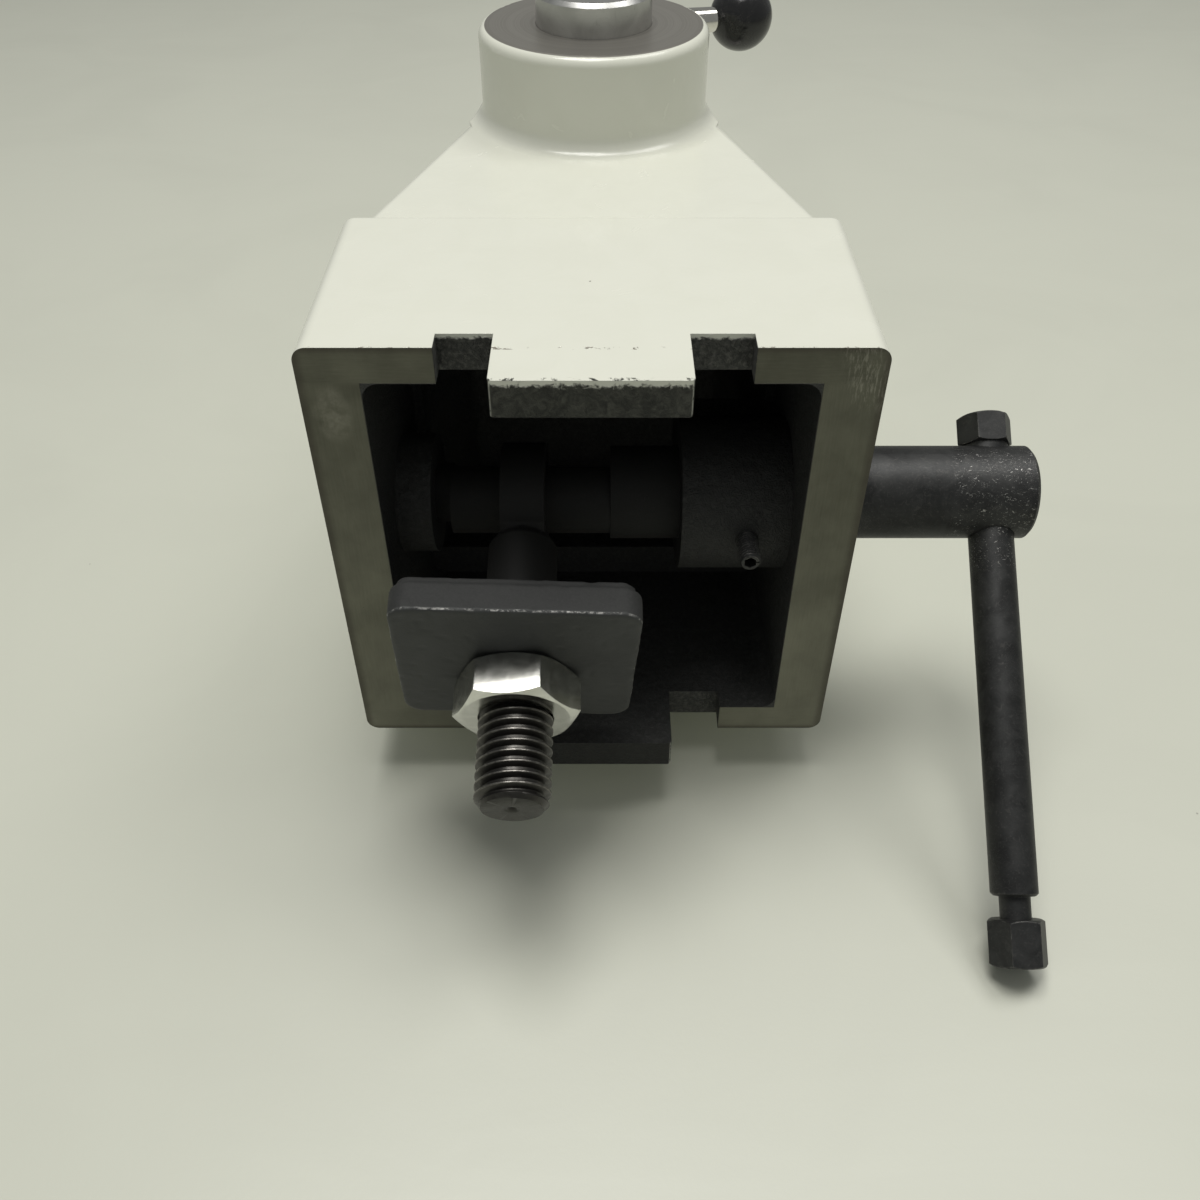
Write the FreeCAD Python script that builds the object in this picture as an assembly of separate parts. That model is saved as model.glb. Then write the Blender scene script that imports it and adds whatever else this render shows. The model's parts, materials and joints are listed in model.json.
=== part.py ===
"""Tailstock of a small wood lathe, with its cam clamp, quill, lead screw and handwheel.

Millimetres. The origin is the centre of the bed gap, on the machined bed face. -Y leaves the bed face
towards the bed, +Z runs along the quill towards its nose, and +X is the clamp lever's side. The part lies
on the flat outer face of its handwheel.
"""
import FreeCAD, Part
import math
import os

os.makedirs("parts", exist_ok=True)

# ---- lathe bed and casting
bed_gap = 38.1                  # gap between the two ways of the bed
tongue_clearance = 0.1          # each side of a tongue in the bed gap
centre_height = 127.0           # bed face to quill axis
base_width = 114.3
base_length = 108.6             # along the bed
base_height = 59.4              # bed face to shoulder
side_wall = 12.3
end_wall = 7.9
roof_wall = 8.0
outer_corner = 3.0
inner_corner = 3.5
shoulder_round = 2.0
tongue_height = 11.7
tongue_round = 1.0
relief_width_left = 11.2        # clearance notches beside the tongues
relief_width_right = 12.5
relief_depth = 5.3
neck_width = 104.0              # at the shoulder
neck_inset = 0.8                # ledge between base and neck, nose side
neck_setback = 8.0              # the same, handwheel side
neck_wall = 9.0
neck_round = 2.5
pocket_cover = 9.0              # metal between the neck's pocket and the barrel's underside
barrel_radius = 30.0
barrel_nose = 22.0              # barrel beyond the neck, nose side
barrel_nose_round = 2.5
barrel_fillet = 4.0

# ---- clamp shaft (cam) and its bar
cam_height = 27.0               # bed face to shaft axis
shaft_radius = 11.0
shaft_reach = 45.9              # shaft beyond the casting's side
shaft_end_chamfer = 0.8
main_inner_end = 4.0            # where the full diameter stops, inside the base
eccentricity = 3.0
journal_radius = 7.9
journal_length = 37.0
pilot_radius = 7.0
pilot_length = 19.0
far_bore_gap = 0.5              # beyond the shaft's far end
shaft_fit = 0.05                # radial clearance of every running fit on the shaft
boss_radius = 18.0
boss_length = 24.8              # inner boss on the lever side
boss_web = 20.0                 # web from the boss to the roof
far_boss_radius = 14.0
far_boss_length = 8.0
groove_width = 5.4              # groove for the retaining screw
groove_depth = 2.0
screw_hole_clearance = 0.05
retaining_screw_radius = 2.5
retaining_screw_place = 35.0    # along X
retaining_screw_proud = 8.0     # beyond the boss
retaining_socket_flats = 2.5
retaining_socket_depth = 3.0
screw_tip_gap = 0.3

lever_place = 94.3              # bar's axis, along X
lever_angle = 36.9              # bar's direction, from -Y towards -Z
lever_radius = 5.2
lever_fit = 0.08
head_flats = 11.3
head_length = 7.3
head_gap = 0.3                  # head to shaft, with the bar slid home
bar_length = 93.5               # shaft axis to the bar's shoulder
stub_radius = 3.4
stub_show = 5.0
cap_length = 10.2
cap_depth = 7.0                 # how far the stub goes into the cap
cap_end_gap = 0.5
cap_fit = 0.05

# ---- clamp bolt, nut and plate
bolt_tilt = 15.9                # bolt's direction, from -Y towards -Z
bolt_place = -16.1              # bolt's axis, along X
bolt_radius = 7.9375            # 5/8 in
bolt_length = 77.4              # journal centre to tip
bolt_tip_chamfer = 1.6
dimple_radius = 1.6
dimple_depth = 1.2
eye_radius = 13.5
eye_thickness = 10.0
eye_shoulder = 4.0              # how deep the shank's swell starts inside the eye
plate_front = 47.55             # journal centre to the plate's outer face
plate_width = 50.8
plate_height = 44.7
plate_thickness = 7.0           # without the land
plate_rise = 4.8                # plate's centre above its hole
plate_turn = -2.9               # degrees about the bolt
plate_corner = 4.5
plate_edge = 0.8
land_height = 1.9               # raised land on the plate's bed side
land_inset = 1.2
plate_hole_clearance = 0.45
nut_flats = 23.8
nut_height = 9.7
nut_angle = 6.0                 # degrees about the bolt
nut_gap = 0.05
nut_thread_clearance = 0.06

# ---- quill and lead screw
quill_radius = 15.0
quill_fit = 0.05
quill_length = 116.0
quill_proud = 8.0               # quill beyond the barrel, as it stands
quill_retract = 6.0             # how much further in it goes
quill_travel = 45.0
taper_mouth_radius = 8.89       # Morse taper 2
taper_per_mm = 0.024975         # radius per mm
taper_depth = 68.0
keyway_width = 5.0
keyway_depth = 3.0
key_place = 20.0                # key screw, along Z
key_end_margin = 3.0
quill_chamfer = 1.0
quill_nut_radius = 11.0
quill_nut_length = 14.0
screw_radius = 6.35
screw_thread_clearance = 0.1
screw_journal_radius = 6.0
collar_radius = 10.0
collar_thickness = 3.0
taper_shank = 64.0              # the screw pushes a taper of this length out, quill fully in

# ---- retainer and handwheel
retainer_radius = 27.0
retainer_thickness = 6.0
spigot_length = 2.5
spigot_fit = 0.03
retainer_chamfer = 0.8
retainer_screw_radius = 2.5
retainer_screw_circle = 21.0
retainer_screw_count = 3
retainer_screw_length = 12.0
retainer_hole_end_gap = 1.0     # beyond the screw's end
retainer_head_radius = 4.25
retainer_head_height = 3.0
retainer_head_fit = 0.25
washer_thickness = 1.5
washer_radius = 12.0
washer_gap = 0.05
wheel_radius = 60.0
wheel_face = 69.8               # flat outer face below the origin
rim_width = 14.0
rim_thickness = 11.0
rim_round = 4.0
web_thickness = 5.5
web_recess = 3.5
hub_recess_radius = 13.0
hub_radius = 16.0
hub_length = 8.0
hub_fit = 0.02
key_size = 4.0
key_fit = 0.02
key_end_gap = 0.5               # hub's faces to the key's ends
wheel_washer_thickness = 1.2
wheel_washer_radius = 10.0
wheel_nut_flats = 17.0
wheel_nut_height = 5.4
wheel_screw_radius = 5.0
wheel_screw_proud = 0.8         # beyond the nut
handle_hole_radius = 3.4        # tapped M8
handle_hole_place = 50.0

# ---- quill lock and key screw
lock_place = 62.0               # along Z
lock_boss_radius = 11.0
lock_boss_top = 36.0            # above the quill axis
stud_radius = 5.0
stud_fit = 0.08
stud_top = 46.0                 # above the quill axis
pad_radius = 4.9
pad_length = 5.0
pad_gap = 0.35                  # pad to quill, unlocked
stud_pad_gap = 0.3
lock_hub_radius = 8.5
lock_hub_length = 14.0
lock_hub_gap = 0.3
lock_hub_edge = 1.5
lock_socket_gap = 0.2           # stud's top to the end of the hub's socket
lock_fit = 0.03
lock_arm_root = 5.0
lock_arm_tip = 3.2
lock_arm_length = 44.0
lock_arm_rise = 18.0            # degrees
lock_knob_radius = 9.5
lock_knob_reach = 2.85          # knob's centre beyond the arm's end
key_screw_radius = 4.0
key_screw_proud = 8.0
key_dog_radius = 2.35
key_dog_gap = 0.3
locknut_flats = 13.0
locknut_height = 5.0
spot_face_depth = 1.5
spot_face_radius = 9.5

# ---- shared by many pieces
end_chamfer = 0.6               # on the ends of bars, screws and studs
hex_ring = 0.97                 # where a hexagon's end chamfer starts, as a share of its half flats
hex_chamfer_angle = 30.0
past = 1.0                      # how far a cutter or a joined solid reaches past a face

X_AXIS = FreeCAD.Vector(1, 0, 0)
Y_AXIS = FreeCAD.Vector(0, 1, 0)
Z_AXIS = FreeCAD.Vector(0, 0, 1)

half_width = base_width / 2
half_length = base_length / 2
neck_front = half_length - neck_inset
neck_rear = -(half_length - neck_setback)
barrel_front = half_length + barrel_nose
quill_nose = barrel_front + quill_proud
quill_rear = quill_nose - quill_length
spot_face_x = barrel_radius - spot_face_depth

# ---- places along the clamp shaft and the lead screw
shaft_outer_end = half_width + shaft_reach
journal_end = main_inner_end - journal_length
shaft_far_end = journal_end - pilot_length
retainer_inner = neck_rear + spigot_length
retainer_outer = neck_rear - retainer_thickness
inner_washer = retainer_inner + washer_gap
collar_low = inner_washer + washer_thickness + washer_gap
collar_high = collar_low + collar_thickness
retainer_screw_end = retainer_outer + retainer_head_height + retainer_screw_length
outer_washer = retainer_outer - washer_gap - washer_thickness
hub_inner = outer_washer - washer_gap
hub_outer = hub_inner - hub_length
wheel_nut_outer = hub_outer - wheel_washer_thickness - wheel_nut_height
screw_outer_end = wheel_nut_outer - wheel_screw_proud
screw_inner_end = quill_nose - quill_retract - taper_shank


def vec(x, y, z):
    """A point or a direction."""
    return FreeCAD.Vector(x, y, z)


def block(x, y, z):
    """A box from its low and high limits along X, Y and Z."""
    return Part.makeBox(x[1] - x[0], y[1] - y[0], z[1] - z[0], vec(x[0], y[0], z[0]))


def rounded_block(x, y, z, radius, axis):
    """A box whose four edges along one axis are rounded."""
    solid = block(x, y, z)
    edges = [e for e in solid.Edges if abs(e.tangentAt(e.FirstParameter).dot(axis)) > 0.999]
    return solid.makeFillet(radius, edges)


def rod(radius, start, direction, length):
    """A cylinder from a start point."""
    return Part.makeCylinder(radius, length, start, direction)


def turned(profile, place):
    """A solid turned about local Z from (radius, height) points, set in place."""
    points = [vec(r, 0, h) for r, h in profile]
    face = Part.Face(Part.makePolygon(points + [points[0]]))
    solid = face.revolve(vec(0, 0, 0), Z_AXIS, 360)
    solid.Placement = place
    return solid


def prism(points, bottom, top, place):
    """A straight-sided solid from outline points in local X and Y."""
    corners = [vec(x, y, bottom) for x, y in points]
    solid = Part.Face(Part.makePolygon(corners + [corners[0]])).extrude(vec(0, 0, top - bottom))
    solid.Placement = place
    return solid


def hexagon(flats):
    """Corners of a hexagon with a flat towards local +Y."""
    corner = flats / math.sqrt(3)
    return [(corner * math.cos(math.radians(60 * i)), corner * math.sin(math.radians(60 * i)))
            for i in range(6)]


def chamfered_hexagon(flats, height):
    """A hexagon bar on local Z from 0 up, both ends chamfered."""
    ring = flats / 2 * hex_ring
    reach = flats / math.sqrt(3) + past
    slope = (reach - ring) * math.tan(math.radians(hex_chamfer_angle))
    cone = turned([(0, 0), (ring, 0), (reach, slope), (reach, height - slope), (ring, height), (0, height)],
                  FreeCAD.Placement())
    return prism(hexagon(flats), 0, height, FreeCAD.Placement()).common(cone)


def hex_nut(flats, height, bore, place):
    """A hexagon nut on local Z from 0 up, with a plain bore."""
    nut = chamfered_hexagon(flats, height).cut(rod(bore, vec(0, 0, -past), Z_AXIS, height + 2 * past))
    nut.Placement = place
    return nut


def hex_socket(flats, depth, place):
    """The cutter for a hexagon socket in a screw's end, down to the depth."""
    return prism(hexagon(flats), -past, depth, place)


def frame_at(origin, along, across):
    """A placement whose local Z runs along and whose local X runs across."""
    side = along.cross(across)
    return FreeCAD.Placement(origin, FreeCAD.Rotation(across, side, along, "ZXY"))


def save(name, shape):
    """Write one node's STEP file, unwrapped to its plain solids."""
    solids = shape.Solids
    if not solids or not all(s.isValid() for s in solids):
        raise RuntimeError(name + " is not a valid solid")
    whole = solids[0] if len(solids) == 1 else Part.makeCompound(solids)
    whole.exportStep("parts/" + name + ".step")
    print("%-24s %2d solid(s) %10.1f mm3" % (name, len(solids), sum(s.Volume for s in solids)))


# ---- directions and places that several pieces share
journal_centre = vec(0, cam_height - eccentricity, 0)
quill_axis = vec(0, centre_height, 0)
quill_place = FreeCAD.Placement(quill_axis, FreeCAD.Rotation())
lever_way = vec(0, -math.cos(math.radians(lever_angle)), -math.sin(math.radians(lever_angle)))
lever_origin = vec(lever_place, cam_height, 0)
lever_frame = frame_at(lever_origin, lever_way, X_AXIS)
bolt_way = vec(0, -math.cos(math.radians(bolt_tilt)), -math.sin(math.radians(bolt_tilt)))
bolt_origin = journal_centre + X_AXIS * bolt_place
bolt_frame = frame_at(bolt_origin, bolt_way, X_AXIS)
lock_frame = frame_at(vec(0, centre_height, lock_place), Y_AXIS, X_AXIS)


def neck_sides():
    """Where the neck's straight side meets the barrel, and its lean from the vertical."""
    rise = centre_height - base_height
    reach = math.hypot(neck_width / 2, rise)
    heading = math.atan2(rise, -neck_width / 2) - math.asin(barrel_radius / reach)
    run = math.sqrt(reach ** 2 - barrel_radius ** 2)
    meet_x = neck_width / 2 + run * math.cos(heading)
    meet_y = base_height + run * math.sin(heading)
    return meet_x, meet_y, heading - math.pi / 2


def neck_solid(front):
    """The neck's outer shape, from its rear face to the given front."""
    meet_x, meet_y, _ = neck_sides()
    root = base_height - roof_wall / 2
    half = neck_width / 2
    points = [(-half, root), (half, root), (half, base_height), (meet_x, meet_y), (-meet_x, meet_y),
              (-half, base_height)]
    solid = prism(points, neck_rear, front, FreeCAD.Placement())
    sides = [e for e in solid.Edges if abs(e.tangentAt(e.FirstParameter).z) < 0.001
             and e.BoundBox.YLength > (meet_y - base_height) / 2]
    return solid.makeFillet(neck_round, sides)


def neck_pocket():
    """The cored hollow inside the neck, open to the base."""
    _, _, lean = neck_sides()
    low = base_height - roof_wall - past
    high = centre_height - barrel_radius - pocket_cover
    side = neck_wall / math.cos(lean)
    half_low = neck_width / 2 - side
    half_high = neck_width / 2 - (high - base_height) * math.tan(lean) - side
    points = [(-half_low, low), (half_low, low), (half_low, base_height), (half_high, high),
              (-half_high, high), (-half_low, base_height)]
    solid = prism(points, neck_rear + neck_wall, neck_front - neck_wall, FreeCAD.Placement())
    corners = [e for e in solid.Edges if e.BoundBox.YLength > 1.5 * roof_wall
               or (e.BoundBox.YMin > high - 0.01 and e.BoundBox.ZLength > neck_wall)]
    return solid.makeFillet(inner_corner, corners)


def barrel_fillet_ring():
    """The concave fillet where the barrel's nose stands out of the neck's front wall."""
    inner, outer = barrel_radius - past, barrel_radius + barrel_fillet
    low, high = neck_front - past, neck_front + barrel_fillet
    bend = barrel_fillet * (1 - math.sqrt(0.5))
    arc = Part.Arc(vec(outer, 0, neck_front), vec(barrel_radius + bend, 0, neck_front + bend),
                   vec(barrel_radius, 0, high)).toShape()
    straight = [Part.makeLine(vec(barrel_radius, 0, high), vec(inner, 0, high)),
                Part.makeLine(vec(inner, 0, high), vec(inner, 0, low)),
                Part.makeLine(vec(inner, 0, low), vec(outer, 0, low)),
                Part.makeLine(vec(outer, 0, low), vec(outer, 0, neck_front))]
    ring = Part.Face(Part.Wire([arc] + straight)).revolve(vec(0, 0, 0), Z_AXIS, 360)
    ring.translate(quill_axis)
    return ring.common(neck_solid(high + past))


def base_shell():
    """The hollow base with its tongues and the relief notches beside them."""
    base = rounded_block((-half_width, half_width), (0, base_height), (-half_length, half_length),
                         outer_corner, Y_AXIS)
    top = [e for e in base.Edges if e.BoundBox.YMin > base_height - 0.01]
    base = base.makeFillet(shoulder_round, top)
    hollow = rounded_block((side_wall - half_width, half_width - side_wall),
                           (-past, base_height - roof_wall),
                           (end_wall - half_length, half_length - end_wall), inner_corner, Y_AXIS)
    base = base.cut(hollow)
    half_tongue = bed_gap / 2 - tongue_clearance
    for end in (-1, 1):
        near, far = sorted((end * (half_length - end_wall), end * half_length))
        tongue = block((-half_tongue, half_tongue), (-tongue_height, relief_depth), (near, far))
        edges = [e for e in tongue.Edges if e.BoundBox.ZLength > end_wall / 2
                 and e.BoundBox.YMax < -tongue_height / 2]
        base = base.fuse(tongue.makeFillet(tongue_round, edges))
        for start, width in ((-half_tongue - relief_width_left, relief_width_left),
                             (half_tongue, relief_width_right)):
            base = base.cut(block((start, start + width), (-past, relief_depth), (near - past, far + past)))
    return base


def shaft_bosses():
    """The two inner bosses that carry the clamp shaft."""
    inner_face = half_width - side_wall
    near = rod(boss_radius, vec(inner_face - boss_length, cam_height, 0), X_AXIS, boss_length + past)
    web = block((inner_face - boss_length, inner_face + past), (cam_height, base_height - roof_wall + past),
                (-boss_web / 2, boss_web / 2))
    far = rod(far_boss_radius, vec(-inner_face - past, cam_height, 0), X_AXIS, far_boss_length + past)
    return near.fuse(web).fuse(far)


def tailstock_body():
    """The main casting, with every bore and tapped hole."""
    casting = base_shell().cut(neck_pocket()).fuse(shaft_bosses())
    barrel = rod(barrel_radius, quill_axis + vec(0, 0, neck_rear), Z_AXIS, barrel_front - neck_rear)
    nose = [e for e in barrel.Edges if e.BoundBox.ZMin > barrel_front - 0.01]
    barrel = barrel.makeFillet(barrel_nose_round, nose)
    upper = neck_solid(neck_front).fuse(barrel).fuse(barrel_fillet_ring()).cut(neck_pocket())
    lock_boss = rod(lock_boss_radius, vec(0, centre_height, lock_place), Y_AXIS, lock_boss_top)
    casting = casting.fuse(upper).fuse(lock_boss)

    bore = rod(quill_radius + quill_fit, quill_axis + Z_AXIS * (neck_rear - past), Z_AXIS,
               barrel_front - neck_rear + 2 * past)
    shaft_bore = rod(shaft_radius + shaft_fit, vec(0, cam_height, 0), X_AXIS, half_width + past)
    far_bore = rod(pilot_radius + shaft_fit, vec(shaft_far_end - far_bore_gap, cam_height, 0), X_AXIS,
                   -shaft_far_end)
    screw_hole = rod(retaining_screw_radius + screw_hole_clearance,
                     vec(retaining_screw_place, cam_height - boss_radius - past, 0), Y_AXIS, boss_radius)
    lock_hole = rod(stud_radius + stud_fit, vec(0, centre_height, lock_place), Y_AXIS, lock_boss_top + past)
    key_hole = rod(key_screw_radius + screw_hole_clearance, vec(0, centre_height, key_place), -X_AXIS,
                   barrel_radius + past)
    spot_face = rod(spot_face_radius, vec(-spot_face_x, centre_height, key_place), -X_AXIS, barrel_radius)
    for tool in (bore, shaft_bore, far_bore, screw_hole, lock_hole, key_hole, spot_face):
        casting = casting.cut(tool)
    for place in retainer_screw_places():
        casting = casting.cut(rod(retainer_screw_radius + screw_hole_clearance,
                                  place + Z_AXIS * (neck_rear - past), Z_AXIS,
                                  retainer_screw_end + retainer_hole_end_gap - neck_rear + past))
    return casting


def retainer_screw_places():
    """Axes of the retainer's screws, on the quill axis's circle."""
    step = 2 * math.pi / retainer_screw_count
    return [quill_axis + vec(retainer_screw_circle * math.sin(i * step),
                             -retainer_screw_circle * math.cos(i * step), 0)
            for i in range(retainer_screw_count)]


# ---- clamp
def cam_shaft():
    """Clamp shaft: plain outer end, groove, eccentric journal and far pilot."""
    start = vec(main_inner_end, cam_height, 0)
    main = rod(shaft_radius, start, X_AXIS, shaft_outer_end - main_inner_end)
    rim = [e for e in main.Edges if e.BoundBox.XMin > shaft_outer_end - 0.01]
    main = main.makeChamfer(shaft_end_chamfer, rim)
    journal = rod(journal_radius, journal_centre + vec(journal_end, 0, 0), X_AXIS, journal_length)
    pilot = rod(pilot_radius, vec(shaft_far_end, cam_height, 0), X_AXIS, pilot_length)
    groove_start = vec(retaining_screw_place - groove_width / 2, cam_height, 0)
    groove = rod(shaft_radius + past, groove_start, X_AXIS, groove_width)
    groove = groove.cut(rod(shaft_radius - groove_depth, groove_start, X_AXIS, groove_width))
    cross = rod(lever_radius + lever_fit, lever_origin - lever_way * 2 * shaft_radius, lever_way,
                4 * shaft_radius)
    return main.fuse(journal).fuse(pilot).cut(groove).cut(cross)


def shaft_retaining_screw():
    """Set screw through the inner boss into the shaft's groove."""
    outer = cam_height - boss_radius - retaining_screw_proud
    length = cam_height - shaft_radius + groove_depth - screw_tip_gap - outer
    place = frame_at(vec(retaining_screw_place, outer, 0), Y_AXIS, X_AXIS)
    edge = retaining_screw_radius - end_chamfer
    screw = turned([(0, 0), (edge, 0), (retaining_screw_radius, end_chamfer),
                    (retaining_screw_radius, length - end_chamfer), (edge, length), (0, length)], place)
    return screw.cut(hex_socket(retaining_socket_flats, retaining_socket_depth, place))


def hex_knob(start, end, place):
    """A hexagon head between two heights on local Z."""
    knob = chamfered_hexagon(head_flats, end - start)
    knob.Placement = FreeCAD.Placement(place.multVec(vec(0, 0, start)), place.Rotation)
    return knob


def lever_bar():
    """Sliding bar of the clamp lever: head, bar and threaded stub."""
    head_base = -(shaft_radius + head_gap)
    stub_end = bar_length + stub_show + cap_depth
    bar = turned([(0, head_base - past), (lever_radius, head_base - past),
                  (lever_radius, bar_length - end_chamfer), (lever_radius - end_chamfer, bar_length),
                  (stub_radius, bar_length), (stub_radius, stub_end - end_chamfer),
                  (stub_radius - end_chamfer, stub_end), (0, stub_end)], lever_frame)
    return bar.fuse(hex_knob(head_base - head_length, head_base, lever_frame)).removeSplitter()


def lever_cap():
    """End knob, screwed on the bar's stub."""
    low = bar_length + stub_show
    hole = rod(stub_radius + cap_fit, lever_origin + lever_way * (low - past), lever_way,
               cap_depth + cap_end_gap + past)
    return hex_knob(low, low + cap_length, lever_frame).cut(hole)


def clamp_bolt():
    """Clamp bolt with a flat eye on the shaft's journal."""
    half_eye = eye_thickness / 2
    inside = eye_radius - eye_shoulder
    shank = turned([(0, inside), (half_eye, inside), (bolt_radius, eye_radius + past),
                    (bolt_radius, bolt_length - bolt_tip_chamfer),
                    (bolt_radius - bolt_tip_chamfer, bolt_length), (dimple_radius, bolt_length),
                    (0, bolt_length - dimple_depth)], bolt_frame)
    eye = rod(eye_radius, bolt_origin - X_AXIS * half_eye, X_AXIS, eye_thickness)
    hole = rod(journal_radius + shaft_fit, bolt_origin - X_AXIS * eye_thickness, X_AXIS, 2 * eye_thickness)
    return eye.fuse(shank).cut(hole)


def clamp_plate():
    """Thick clamp plate with a raised land on its bed side."""
    back = plate_front - plate_thickness
    bearing = back - land_height
    wide, high = plate_width / 2, plate_height / 2
    plate = rounded_block((-wide, wide), (-high, high), (back, plate_front), plate_corner, Z_AXIS)
    plate = plate.makeFillet(plate_edge, [e for e in plate.Edges if e.BoundBox.ZLength < 0.01])
    wide, high = wide - land_inset, high - land_inset
    land = rounded_block((-wide, wide), (-high, high), (bearing, back + past), plate_corner - land_inset,
                         Z_AXIS)
    land = land.makeFillet(plate_edge, [e for e in land.Edges if e.BoundBox.ZMax < bearing + 0.01])
    plate = plate.fuse(land)
    turn = FreeCAD.Placement(vec(0, plate_rise, 0), FreeCAD.Rotation(Z_AXIS, plate_turn))
    plate.Placement = bolt_frame.multiply(turn)
    return plate.cut(rod(bolt_radius + plate_hole_clearance, bolt_origin, bolt_way, plate_front + past))


def clamp_nut():
    """Hexagon nut outside the clamp plate."""
    turn = FreeCAD.Placement(vec(0, 0, plate_front + nut_gap), FreeCAD.Rotation(Z_AXIS, nut_angle))
    return hex_nut(nut_flats, nut_height, bolt_radius + nut_thread_clearance, bolt_frame.multiply(turn))


# ---- quill and lead screw
def quill():
    """Quill with its taper socket, nut pocket and keyway."""
    socket_end = taper_mouth_radius - taper_per_mm * taper_depth
    body = turned([(taper_mouth_radius, quill_nose), (quill_radius - quill_chamfer, quill_nose),
                   (quill_radius, quill_nose - quill_chamfer), (quill_radius, quill_rear + quill_chamfer),
                   (quill_radius - quill_chamfer, quill_rear), (quill_nut_radius, quill_rear),
                   (quill_nut_radius, quill_rear + quill_nut_length),
                   (socket_end, quill_rear + quill_nut_length), (socket_end, quill_nose - taper_depth)],
                  quill_place)
    ends = key_dog_radius + key_end_margin
    keyway = block((-quill_radius - past, keyway_depth - quill_radius),
                   (centre_height - keyway_width / 2, centre_height + keyway_width / 2),
                   (key_place - (quill_travel - quill_retract) - ends, key_place + quill_retract + ends))
    return body.cut(keyway)


def sleeve(bore, radius, low, length):
    """A plain ring on the quill's axis."""
    high = low + length
    return turned([(bore, low), (radius, low), (radius, high), (bore, high)], quill_place)


def quill_nut():
    """Bronze nut pressed into the quill's rear."""
    return sleeve(screw_radius + screw_thread_clearance, quill_nut_radius, quill_rear, quill_nut_length)


def thrust_washer_inner():
    """Bronze thrust washer between the retainer and the screw's collar."""
    return sleeve(screw_journal_radius + washer_gap, washer_radius, inner_washer, washer_thickness)


def thrust_washer_outer():
    """Bronze thrust washer between the retainer and the wheel's hub."""
    return sleeve(screw_journal_radius + washer_gap, washer_radius, outer_washer, washer_thickness)


def handwheel_washer():
    """Washer under the wheel's retaining nut."""
    return sleeve(wheel_screw_radius + washer_gap, wheel_washer_radius, hub_outer - wheel_washer_thickness,
                  wheel_washer_thickness)


def handwheel_nut():
    """Retaining nut, sunk below the wheel's outer face."""
    place = FreeCAD.Placement(quill_axis + Z_AXIS * wheel_nut_outer, FreeCAD.Rotation())
    return hex_nut(wheel_nut_flats, wheel_nut_height, wheel_screw_radius + washer_gap, place)


def handwheel_key():
    """Square key between the screw's journal and the wheel's hub."""
    low = screw_journal_radius - key_size / 2
    return block((low, low + key_size), (centre_height - key_size / 2, centre_height + key_size / 2),
                 (hub_outer + key_end_gap, hub_inner - key_end_gap))


def lead_screw():
    """Lead screw with its thrust collar, journal, key seat and threaded outer end."""
    end = wheel_screw_radius
    shoulder = hub_outer + key_end_gap
    screw = turned([(0, screw_outer_end), (end - end_chamfer, screw_outer_end),
                    (end, screw_outer_end + end_chamfer), (end, shoulder), (screw_journal_radius, shoulder),
                    (screw_journal_radius, collar_low), (collar_radius, collar_low),
                    (collar_radius, collar_high), (screw_radius, collar_high),
                    (screw_radius, screw_inner_end - end_chamfer),
                    (screw_radius - end_chamfer, screw_inner_end), (0, screw_inner_end)], quill_place)
    return screw.cut(handwheel_key())


def screw_retainer():
    """Flange on the barrel's rear that holds the screw's collar in."""
    bore = screw_journal_radius + washer_gap
    spigot = quill_radius + quill_fit - spigot_fit
    flange = turned([(bore, retainer_outer), (retainer_radius - retainer_chamfer, retainer_outer),
                     (retainer_radius, retainer_outer + retainer_chamfer), (retainer_radius, neck_rear),
                     (spigot, neck_rear), (spigot, retainer_inner), (bore, retainer_inner)], quill_place)
    for axis in retainer_screw_places():
        start = axis + Z_AXIS * (retainer_outer - past)
        flange = flange.cut(rod(retainer_screw_radius + screw_hole_clearance, start, Z_AXIS,
                                retainer_thickness + 2 * past))
        flange = flange.cut(rod(retainer_head_radius + retainer_head_fit, start, Z_AXIS,
                                retainer_head_height + past))
    return flange


def retainer_screws():
    """Socket-head screws of the retainer."""
    head, radius = retainer_head_radius, retainer_screw_radius
    end = retainer_screw_end - retainer_outer
    screws = []
    for axis in retainer_screw_places():
        place = FreeCAD.Placement(axis + Z_AXIS * retainer_outer, FreeCAD.Rotation())
        screw = turned([(0, 0), (head - end_chamfer, 0), (head, end_chamfer), (head, retainer_head_height),
                        (radius, retainer_head_height), (radius, end - end_chamfer),
                        (radius - end_chamfer, end), (0, end)], place)
        screws.append(screw.cut(hex_socket(head, retainer_head_height / 2, place)))
    return Part.makeCompound(screws)


def handwheel():
    """Dished handwheel with a flat outer face, keyed hub and a tapped hole for a spinner."""
    face = -wheel_face
    bore = screw_journal_radius + hub_fit
    rim_top = face + rim_thickness
    rim_in = wheel_radius - rim_width
    web_low = face + web_recess
    web_high = web_low + web_thickness
    wheel = turned([(bore, hub_inner), (hub_radius, hub_inner), (hub_radius, web_high),
                    (rim_in - past, web_high), (rim_in, rim_top), (wheel_radius, rim_top),
                    (wheel_radius, face), (rim_in, face), (rim_in, web_low), (hub_recess_radius, web_low),
                    (hub_recess_radius, hub_outer), (bore, hub_outer)], quill_place)
    corners = [e for e in wheel.Edges if abs(e.BoundBox.XMax - wheel_radius) < 0.01
               and e.BoundBox.ZLength < 0.01]
    wheel = wheel.makeFillet(rim_round, corners)
    keyway = block((0, screw_journal_radius + key_size / 2 + key_fit),
                   (centre_height - key_size / 2, centre_height + key_size / 2),
                   (hub_outer - past, hub_inner + past))
    handle_hole = rod(handle_hole_radius, quill_axis + vec(0, -handle_hole_place, face - past), Z_AXIS,
                      rim_thickness + 2 * past)
    return wheel.cut(keyway).cut(handle_hole)


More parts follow.
